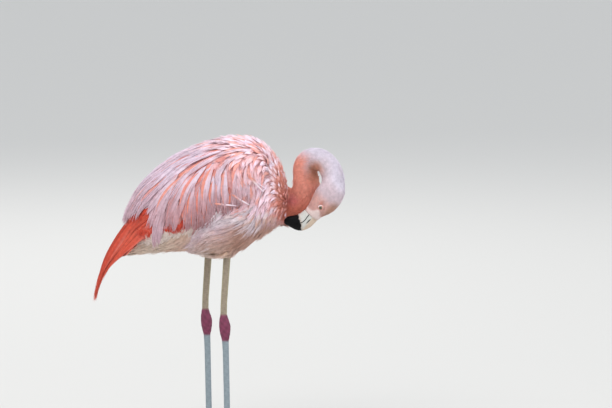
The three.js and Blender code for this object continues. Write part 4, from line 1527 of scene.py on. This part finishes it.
def make_rear_plumes(side):
    """Long red plumes that leave the body under the wing and hang behind it."""
    rng = draws(f"rear_{side}")
    sign = SIDES[side]
    count, rows, fine = 46, 16, 24
    back_edge, front_edge = (
        resampled(np.array([(x, 0, z) for x, z in edge]), fine)
        for edge in (REAR_BACK_EDGE, REAR_FRONT_EDGE)
    )
    a = np.concatenate((rng.random(count - 5) ** 0.9, (0.0, 0.03, 0.07, 0.12, 0.2)))
    t = np.linspace(0, 1, fine)
    path = mix(back_edge[None], front_edge[None], np.repeat(a[:, None], fine, 1))
    b = rng.uniform(-1, 1, count)
    b[-5:] = (0.1, -0.3, 0.4, -0.5, 0.2)
    room = 19 - 14 * t
    path[:, :, 1] = sign * (24 - 15 * t + b[:, None] * room) * MM
    outside = on_outside(path, sign, 2.2 * MM)
    path = mix(path, outside, np.repeat(ease(0.1, 0.3, a)[:, None], fine, 1))
    for _ in range(4):
        path[:, 1:-1] = (path[:, :-2] + 2 * path[:, 1:-1] + path[:, 2:]) / 4
    end = 1 - 0.42 * rng.random(count) ** 1.2 * ease(0.0, 0.5, a)
    at = shares(rows) * end[:, None]
    shafts = read_along(path, at)
    ups = np.broadcast_to(LEFT * sign, shafts.shape) + (-BACK * 0.35 - DOWN * 0.2) * b[:, None, None]
    wide = rng.uniform(4.2, 6.2, count) * MM
    narrow = 1 - 0.65 * ease(0.55, 1.0, at)
    widths = wide[:, None] * leaf(shares(rows), 0.3, 1.7) * narrow
    red = mix(hue("flame"), hue("ember"), rng.random(count) * 0.8)
    light = mix(hue("salmon"), hue("pale"), rng.random(count) * 0.25)
    pale = ease(0.3, 0.0, a) * 0.5
    rear = -sign

    def tint(t, c):
        share = ease(0.1, 1.0, c * rear) * (0.25 + 0.65 * pale[:, None, None])
        dark = ease(0.4, 1.0, -c * rear) * 0.6 + ease(0.6, 1.0, t) * 0.4
        colour = mix(red[:, None, None, :], light[:, None, None, :], share)
        return mix(colour, hue("ember") * 0.62, dark)

    blades = Blades(5)
    roots = np.stack((0.05 + 0.9 * rng.random(count), 0.05 + 0.9 * rng.random(count)), 1)
    blades.add(shafts, unit(ups), widths, roots, tint, thick=0.45 * MM, camber=0.25,
               roll=rng.normal(0, 0.22, count))
    blades.add_strands(
        shafts, unit(ups), 0.4 * wide, roots, red, rng,
        each=4, splay=1.0 * MM, half=0.6 * MM, thick=0.3 * MM, rows=8, loose=1.0 * MM,
    )
    feather_piece(
        f"rear_plumes_{side}", blades, rng, "plume_plumage", replaced=[f"plume_{side}"],
    )


def make_tail():
    """The short tail feathers, fanned under the rear plumes."""
    rng = draws("tail")
    middles, halves = middle_line("tail", 2, 6)
    start = middles[0] + (middles[0] - middles[1]) * 2.2
    line = resampled(np.vstack((start, middles)), 12)
    count, rows = 12, 11
    fan = np.linspace(-1, 1, count)
    t = np.linspace(0, 1, rows)
    room = np.interp(t, (0, 0.3, 1), (0.35, 1, 0.95)) * halves[:, 1].max() * 0.82
    shafts = np.repeat(resampled(line, rows)[None], count, 0)
    shafts = shafts + LEFT * (fan[:, None] * room[None])[:, :, None]
    shafts[:, :, 2] -= (fan**2)[:, None] * 3 * MM
    short = 0.62 - 0.1 * fan**2
    shafts = read_along(shafts, t[None] * short[:, None])
    ups = np.broadcast_to(-DOWN * 0.8 + BACK * 0.6, shafts.shape)
    widths = np.full((count, 1), 6.5 * MM) * leaf(t[None], 0.5, 3.0)
    own = mix(hue("flame"), hue("salmon"), rng.random(count) * 0.6)
    blades = Blades(5)
    roots = np.stack((np.full(count, 0.5), np.linspace(0.1, 0.9, count)), 1)
    blades.add(shafts, unit(ups), widths, roots, even(own), thick=0.5 * MM)
    feather_piece("tail_feathers", blades, rng, "tail_plumage", replaced=["tail"])


# ------------------------------------------------------------------ bill
BILL_VOXEL = 0.6 * MM


def horn_finish(name, roughness, coat):
    """Smooth horn with faint growth lines."""
    finish = Finish(name, {
        "Roughness": roughness, "Coat Weight": coat, "Coat Roughness": 0.3,
        "Specular IOR Level": 0.1,
    })
    grain = finish.noise(420, 6)
    colour = finish.mottled(finish.stored("tint")["Color"], grain, 0.9, 1.06)
    return finish.done(colour, grain, 0.25, 0.12 * MM)


def tree_of(node):
    """A CAD node, ready to say what lies nearest."""
    mesh = NODES[node].data
    return BVHTree.FromPolygons(points_of(mesh).tolist(), triangles_of(mesh).tolist())


NOSTRIL = (16, 7.4)  # forward of the corner of the mouth and towards the crown, millimetres


def make_half_bill(half, other, slot, material):
    """The upper or the lower half, with its lip along the other one."""
    node = f"bill_{half}"
    mesh = one_body([node], BILL_VOXEL, f"bill_{half}_horn")
    places = averaged(points_of(mesh), edges_of(mesh), 7)
    set_points(mesh, places)
    normal = read(mesh.vertices, "normal", 3)
    x, _, z = (HEAD.inwards(places) / MM).T
    facing = tree_of(f"bill_{other}")
    found = [facing.find_nearest(p) for p in places.tolist()]
    near = np.array([f[3] for f in found])
    across_gap = unit(np.array([f[0][:] for f in found]) - places)
    inner = ease(4.5 * MM, 3.2 * MM, near) * ease(0.35, 0.75, dot(normal, across_gap)[:, 0])
    lip = ease(1.8 * MM, 0.5 * MM, near)
    growth = 0.05 * np.sin(x * 1.9 + z * 0.8) * ease(30, 8, x)
    sunk = 0.35 * lip * (1 - inner) + growth * (1 - inner)
    slit = np.zeros(len(x))
    if half == "upper":
        over = z - NOSTRIL[1] + 0.08 * (x - NOSTRIL[0])
        slit = ease(1, 0.5, np.hypot((x - NOSTRIL[0]) / 8, over / 1.3))
        sunk = sunk + slit
    places = places - normal * (sunk * MM)[:, None]
    places = places + normal * (0.5 * inner * near)[:, None]
    set_points(mesh, places)
    bend = np.where(z < 0.2, 18.6 + 0.6 * (z + 16.6), 28.7 + 1.3 * (z - 0.2))  # the black's edge
    wave = 0.8 * np.sin(z * 0.9) + 0.5 * np.sin(z * 2.3 + 1)
    black = ease(-1.0, 1.2, x - bend + wave)
    colour = mix(hue("bill"), hue("lores") * 0.92, ease(9, 0, x) * 0.6)
    colour = mix(colour, hue("ochre") * 1.3, 0.5 * ease(6, 11, z) * (half == "upper"))
    colour = mix(colour, hue("crown") * 0.7, 0.35 * ease(-6, -1, x - bend) * (black < 0.5))
    colour = mix(colour, hue("tip"), black)
    # painted shade: the lips along the gape, the nostril's slit and the faces inside the mouth are
    # painted near black
    dark = np.maximum(0.85 * lip * (near < 1.3 * MM), 0.9 * slit)
    paint(mesh, mix(colour, hue("tip"), np.maximum(dark, inner)))
    new_piece(f"bill_{half}_horn", mesh, slot, material, [node])


def make_bill():
    """Both halves of the bill: pale at the base, black from the bend to the tip."""
    material = horn_finish("bill_horn", 0.48, 0.05)
    make_half_bill("upper", "lower", "bill_pale", material)
    make_half_bill("lower", "upper", "bill_dark", material)


# ------------------------------------------------------------------ eyes
EYE_RADIUS = 4.7 * MM
EYE_OUT = 0.65 * MM  # from the middle of the CAD's eye
LID_RIM = 2.7  # from the eye's axis, millimetres
LID_EDGE = 6.2
LID_START = 30 * MM  # from here the lid's edge is dropped onto the skin
LID_PROFILE = (  # distance from the eye's axis and height over its middle, round the lid's rim
    (2.8, 4.5), (2.7, 4.9), (2.95, 5.15), (3.3, 5.15), (3.65, 4.85), (3.9, 4.85), (4.3, 4.6),
    (4.8, 4.2), (5.4, 3.7), (6.2, 3.0), (6.0, 2.2), (5.2, 2.5), (4.4, 2.9), (3.7, 3.6),
)
BROW_SIDE = {"right": 1, "left": -1}  # which way Y points to the crown in the eye's frame


def eye_frame(side):
    """A matrix that turns +Z out of the head through the eye, with X forward."""
    out = Vector(HEAD.across * SIDES[side])
    forward = Vector(HEAD.forward)
    turn = Matrix((forward, out.cross(forward), out)).transposed().to_4x4()
    return Matrix.Translation(middle(f"eye_{side}")) @ turn


def eye_finish():
    """A wet eye: dark pupil, pale iris with fine spokes and a dark rim."""
    finish = Finish("eye", {"Roughness": 0.12, "Coat Weight": 1.0, "Coat Roughness": 0.03})
    stops = (  # the angle from the eye's axis, in radians, and the colour there
        (0.00, (0.006, 0.006, 0.008)), (0.37, (0.006, 0.006, 0.008)),
        (0.39, hue("iris") * 0.35), (0.43, hue("iris") * 0.8), (0.58, hue("iris")),
        (0.70, hue("iris") * 0.5), (0.78, (0.03, 0.025, 0.02)), (0.9, (0.10, 0.07, 0.06)),
    )
    ramp = finish.add("ValToRGB", {"Fac": finish.stored("gaze")["Fac"]})
    while len(ramp.color_ramp.elements) < len(stops):
        ramp.color_ramp.elements.new(0.5)
    for element, (place, colour) in zip(ramp.color_ramp.elements, stops):
        element.position = place
        element.color = (*colour, 1)
    return finish.done(
        finish.mottled(ramp.outputs["Color"], finish.noise(1400, 2), 0.82, 1.08)
    )


def make_eyeball(side, glass):
    """A ball with a raised cornea, which keeps how far each vertex is from the gaze."""
    ball = bmesh.new()
    bmesh.ops.create_uvsphere(ball, u_segments=64, v_segments=72, radius=EYE_RADIUS)
    gaze = []
    for vert in ball.verts:
        angle = vert.co.angle(Vector((0, 0, 1)), 0.0)
        vert.co *= 1 + 0.055 * (1 - min(angle / 0.75, 1) ** 2)
        vert.co.z += EYE_OUT
        gaze.append(angle)
    bmesh.ops.transform(ball, matrix=eye_frame(side), verts=ball.verts)
    mesh = mesh_from(ball, f"eyeball_{side}")
    store(mesh, "gaze", "FLOAT", np.array(gaze))
    shade_smooth(mesh)
    new_piece(f"eyeball_{side}", mesh, "eye", glass, [f"eye_{side}"])


def shape_lids(lid, side, place):
    """Drops the ring of the lids onto the skin, folds it, and narrows the eye's opening."""
    outwards = place.to_3x3() @ Vector((0, 0, 1))
    for vert in lid.verts:
        away = math.hypot(vert.co.x, vert.co.y) / MM
        edge = vert.co.xy.normalized() * LID_EDGE * MM
        start = place @ Vector((*edge, LID_START))
        met = hide().tree.ray_cast(start, -outwards)[0]
        level = LID_START - (met - start).length if met else 2 * MM
        drop = float(ease(LID_RIM + 0.9, LID_EDGE, away))
        vert.co.z += drop * (level - 0.7 * MM - 3.0 * MM)
        turn = math.atan2(vert.co.y, vert.co.x)
        fold = 0.10 * math.sin(turn * 17) + 0.07 * math.sin(turn * 29 + 1)
        brow = 0.35 * max(0.0, vert.co.y * BROW_SIDE[side] / (away * MM))
        band = max(0.0, 1 - abs(away - 4.3) / 1.2)
        vert.co.z += (fold + brow) * band * MM
        near = max(0.0, min(1.0, 1 - (away - 3) / 2.3))
        vert.co.x *= 1 + 0.26 * near
        vert.co.y *= 1 - 0.26 * near


def make_eyelids(side, lid_skin):
    """Both lids as one ring round the eye."""
    lid = bmesh.new()
    ring = [lid.verts.new((r * MM, 0, h * MM)) for r, h in LID_PROFILE]
    loop = [lid.edges.new((a, b)) for a, b in zip(ring, ring[1:] + ring[:1])]
    bmesh.ops.spin(
        lid, geom=ring + loop, cent=(0, 0, 0), axis=(0, 0, 1), angle=2 * math.pi,
        steps=44, use_merge=True,
    )
    place = eye_frame(side)
    shape_lids(lid, side, place)
    bmesh.ops.recalc_face_normals(lid, faces=lid.faces)
    bmesh.ops.transform(lid, matrix=place, verts=lid.verts)
    mesh = mesh_from(lid, f"eyelids_{side}")
    places = points_of(mesh)
    from_eye = places - middle(f"eye_{side}")
    off = np.linalg.norm(np.cross(from_eye, HEAD.across), axis=1)
    local = HEAD.inwards(places) / MM
    colour = mix(hue("face"), hue("lores"), ease(-21, -24.5, -local[:, 0]))
    colour = mix(colour, hue("brow"), 0.35 * ease(5.6 * MM, 3.8 * MM, off))
    colour = colour * (1 + 0.08 * np.sin(off / MM * 9))[:, None]
    back_of_eye = dot(unit(from_eye), -HEAD.crown - 0.5 * HEAD.forward)[:, 0]
    colour = mix(colour, hue("snow"), 0.8 * ease(0.25, 0.6, back_of_eye))
    paint(mesh, mix(colour, hue("crown") * 0.35, ease(3.7 * MM, 3.1 * MM, off)))
    new_piece(f"eyelids_{side}", mesh, "head_plumage", lid_skin)


def make_eyes():
    """Eyeballs and lids."""
    glass = eye_finish()
    lid_skin = plumage_finish("eyelid_skin", roughness=0.5, sheen=0.05, streaks=0.0)
    for side in SIDES:
        make_eyeball(side, glass)
        make_eyelids(side, lid_skin)


# ------------------------------------------------------------------ legs
LEG_VOXEL = 0.95 * MM
CLAW_VOXEL = 0.45 * MM
LEG_PARTS = ("shank", "ankle", "tarsus", "foot", "hallux")
SCUTE = 4.3 * MM  # length of a plate on the front of the leg
TOES = ("inner", "middle", "outer")
OVER_FLOOR = 0.05 * MM  # the least height of soles and claws


def scaly_finish():
    """Leg skin: its own tint under small polygonal scales with darker cracks."""
    finish = Finish("leg_skin", {"Roughness": 0.55, "Specular IOR Level": 0.4})
    scales = finish.add(
        "TexVoronoi", {"Scale": 680, "Vector": finish.place()}, feature="DISTANCE_TO_EDGE",
    )
    cracks = finish.add("MapRange", {
        "From Max": 0.12, "To Min": 0.8, "To Max": 1.0, "Value": scales.outputs["Distance"],
    }).outputs["Result"]
    colour = finish.multiplied(finish.stored("tint")["Color"], cracks)
    return finish.done(colour, cracks, 0.5, 0.3 * MM)


def make_leg(side, material):
    """A leg and foot in one skin, with plates on the front and warts on the ankle."""
    nodes = [f"{part}_{side}" for part in LEG_PARTS]
    mesh = one_body(nodes, LEG_VOXEL, f"leg_{side}")
    places = averaged(points_of(mesh), edges_of(mesh), 3)
    for toe in TOES:  # the toe's end closes up to its claw
        claw = middle(f"claw_{toe}_{side}")
        ahead = unit((claw - middle(f"tarsus_{side}")) * np.array((1, 1, 0)))
        near = ease(10 * MM, 6 * MM, np.linalg.norm(places - claw, axis=1))
        places = places + ahead * (1.5 * MM * near)[:, None]
    set_points(mesh, places)
    normal = read(mesh.vertices, "normal", 3)
    x, y, z = places.T
    low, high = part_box(f"ankle_{side}")
    axis = middle(f"tarsus_{side}")
    foot_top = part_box(f"foot_{side}")[1].z
    on_foot = ease(foot_top, foot_top - 6 * MM, z)
    knob = ease(high.z + 8 * MM, high.z - 8 * MM, z) * ease(low.z - 8 * MM, low.z + 8 * MM, z)
    from_heel = np.hypot(x - axis[0], y - axis[1])
    measure = np.where(on_foot > 0.5, from_heel * 1.35, z)
    band = abs((measure / SCUTE + 0.35 * np.sign(normal[:, 0])) % 1 - 0.5) * 2
    plates = ease(0.72, 1.0, band) * (0.35 + 0.65 * ease(0.1, 0.6, abs(normal[:, 0]) + on_foot))
    warts = np.sin(z / (1.5 * MM)) * np.sin((x + y) / (1.4 * MM)) * knob
    upwards = np.where(on_foot > 0.5, ease(0.1, 0.5, normal[:, 2]), 1)
    sunk = (0.32 * plates * (1 - 0.7 * knob) * upwards + 0.22 * warts) * MM
    places = places - normal * sunk[:, None]
    places[:, 2] = places[:, 2].clip(OVER_FLOOR)
    set_points(mesh, places)
    shank = mix(hue("shank"), hue("foot") * 0.8, 0.4 * ease(0.5, 0.95, abs(normal[:, 1])))
    colour = mix(hue("tarsus"), shank, ease(low.z + 4 * MM, high.z - 4 * MM, z))
    colour = mix(colour, hue("ankle"), ease(0.25, 0.8, knob))
    colour = mix(colour, hue("foot"), ease(foot_top + 18 * MM, foot_top - 4 * MM, z))
    thin = on_foot * ease(3.6 * MM, 2.8 * MM, z) * ease(0.75, 0.97, normal[:, 2])
    colour = mix(colour, hue("web"), thin)
    spots = np.sin(z / (2.3 * MM) + 2 * np.sin(y / (2.9 * MM)))
    spots = spots * np.sin(x / (2.1 * MM) + z / (7 * MM))
    dark = 1 - 0.3 * plates * (1 - knob) + (0.08 + 0.14 * knob) * spots
    paint(mesh, colour * dark[:, None])
    new_piece(f"leg_{side}", mesh, "leg_skin", material, nodes)


def make_legs():
    """Scaly legs and webbed feet."""
    material = scaly_finish()
    for side in SIDES:
        make_leg(side, material)


def make_claws():
    """Claws of the front toes."""
    material = horn_finish("claw_horn", 0.4, 0.2)
    for side in SIDES:
        for toe in TOES:
            node = f"claw_{toe}_{side}"
            mesh = one_body([node], CLAW_VOXEL, f"{node}_horn")
            places = averaged(points_of(mesh), edges_of(mesh), 2)
            places[:, 2] = places[:, 2].clip(OVER_FLOOR)
            set_points(mesh, places)
            paint(mesh, np.broadcast_to(hue("claw"), places.shape))
            new_piece(f"{node}_horn", mesh, "claw", material, [node])


# ------------------------------------------------------------------ stage
CAMERA_DISTANCE = 6.0
CAMERA_RISE = math.radians(7.5)
VIEW_MIDDLE = Vector((0.1597, 0.0, 0.500))
VIEW_WIDTH = 1.1322  # across the picture, at the bird
SENSOR = 36.0
SKY = ((0.93, 0.96, 1.0, 1), 0.94)  # colour and strength
LAMPS_AIM = Vector((0, 0, 0.45))
LAMPS = (  # place, width, watts and colour
    ("key", (-1.2, -2.8, 3.8), 2.6, 80, (1.0, 0.98, 0.95)),
    ("fill", (3.4, -1.8, 2.2), 2.8, 30, (0.98, 0.98, 1.0)),
    ("back", (-0.6, 3.2, 3.0), 2.6, 44, (1.0, 0.98, 0.96)),
)
FLOOR_HALF = 60


def facing(away):
    """The turn that points a camera or lamp back along a direction."""
    return away.to_track_quat("Z", "Y").to_euler()


def make_stage():
    """Floor, lights and camera."""
    scene = bpy.context.scene
    camera = bpy.data.cameras.new("camera")
    camera.sensor_width = SENSOR
    camera.lens = SENSOR * CAMERA_DISTANCE / VIEW_WIDTH
    camera.clip_end = 200
    away = Vector((0, -math.cos(CAMERA_RISE), math.sin(CAMERA_RISE)))
    holder = linked("camera", camera)
    holder.location = VIEW_MIDDLE + away * CAMERA_DISTANCE
    holder.rotation_euler = facing(away)
    scene.camera = holder
    scene.view_settings.view_transform = "Standard"

    ground = bmesh.new()
    bmesh.ops.create_grid(ground, x_segments=1, y_segments=1, size=FLOOR_HALF)
    mesh = mesh_from(ground, "floor")
    finish = Finish("studio_floor", {
        "Roughness": 0.9, "Base Color": (*hue("floor"), 1), "Specular IOR Level": 0.1,
    })
    mesh.materials.append(finish.material)
    linked("floor", mesh)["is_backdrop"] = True

    world = bpy.data.worlds.new("studio")
    world.use_nodes = True
    sky = world.node_tree.nodes["Background"].inputs
    sky["Color"].default_value, sky["Strength"].default_value = SKY
    scene.world = world
    for name, place, size, watts, colour in LAMPS:
        light = bpy.data.lights.new(name, "AREA")
        light.shape = "DISK"
        light.size = size
        light.energy = watts
        light.color = colour
        lamp = linked(name, light)
        lamp.location = place
        lamp.rotation_euler = facing(Vector(place) - LAMPS_AIM)


# ------------------------------------------------------------------ operators
def operator(name, label, about, make):
    """An operator class that makes one group of pieces."""
    def execute(self, context):
        make()
        return {"FINISHED"}

    return type(
        f"FLAMINGO_OT_{name}", (bpy.types.Operator,),
        {"bl_idname": f"flamingo.{name}", "bl_label": label, "__doc__": about, "execute": execute},
    )


def for_sides(make):
    """Makes the same piece on the right and on the left."""
    return lambda: [make(side) for side in SIDES]


OPERATORS = [
    operator("skin", "Skin", "One skin under the whole coat", make_skin),
    operator("head_down", "Head down", "Tufts of the head", make_head_down),
    operator("neck_down", "Neck down", "Tufts of the neck", make_neck_down),
    operator("body", "Body feathers", "Breast, flanks, belly and thighs", make_body_feathers),
    operator("coverts", "Wing coverts", "Coral feathers under the plumes",
             for_sides(make_wing_coverts)),
    operator("shoulder", "Shoulder feathers", "Ruffled feathers of the wings' front",
             for_sides(make_shoulder)),
    operator("plumes", "Wing plumes", "Long plumes of the wings", for_sides(make_wing_plumes)),
    operator("rear", "Rear plumes", "Red plumes behind the wings", for_sides(make_rear_plumes)),
    operator("tail", "Tail", "Short tail feathers", make_tail),
    operator("bill", "Bill", "Both halves of the bill", make_bill),
    operator("eyes", "Eyes", "Eyeballs and lids", make_eyes),
    operator("legs", "Legs", "Scaly legs and feet", make_legs),
    operator("claws", "Claws", "Claws of the front toes", make_claws),
    operator("stage", "Stage", "Floor, lights and camera", make_stage),
]


class FLAMINGO_PT_pieces(bpy.types.Panel):
    """Lists the steps that make the flamingo"""

    bl_idname = "FLAMINGO_PT_pieces"
    bl_label = "Flamingo"
    bl_space_type = "VIEW_3D"
    bl_region_type = "UI"
    bl_category = "Flamingo"

    def draw(self, context):
        for step in OPERATORS:
            self.layout.operator(step.bl_idname)
        for name in FlamingoSizes.__annotations__:
            self.layout.prop(context.scene.flamingo_sizes, name)
        for name in PALETTE:
            self.layout.prop(context.scene.flamingo_colours, name)


CLASSES = (FlamingoSizes, FlamingoColours, *OPERATORS, FLAMINGO_PT_pieces)


def register():
    for made in CLASSES:
        bpy.utils.register_class(made)
    bpy.types.Scene.flamingo_sizes = bpy.props.PointerProperty(type=FlamingoSizes)
    bpy.types.Scene.flamingo_colours = bpy.props.PointerProperty(type=FlamingoColours)


def unregister():
    del bpy.types.Scene.flamingo_colours
    del bpy.types.Scene.flamingo_sizes
    for made in reversed(CLASSES):
        bpy.utils.unregister_class(made)


def main():
    """Makes every piece in order and writes down both boxes."""
    register()
    for step in OPERATORS:
        group, name = step.bl_idname.split(".")
        getattr(getattr(bpy.ops, group), name)()
    visual = [list(corner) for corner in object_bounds()]
    {"cad_box": CAD_BOX, "visual_box": visual}


if __name__ == "__main__":
    main()
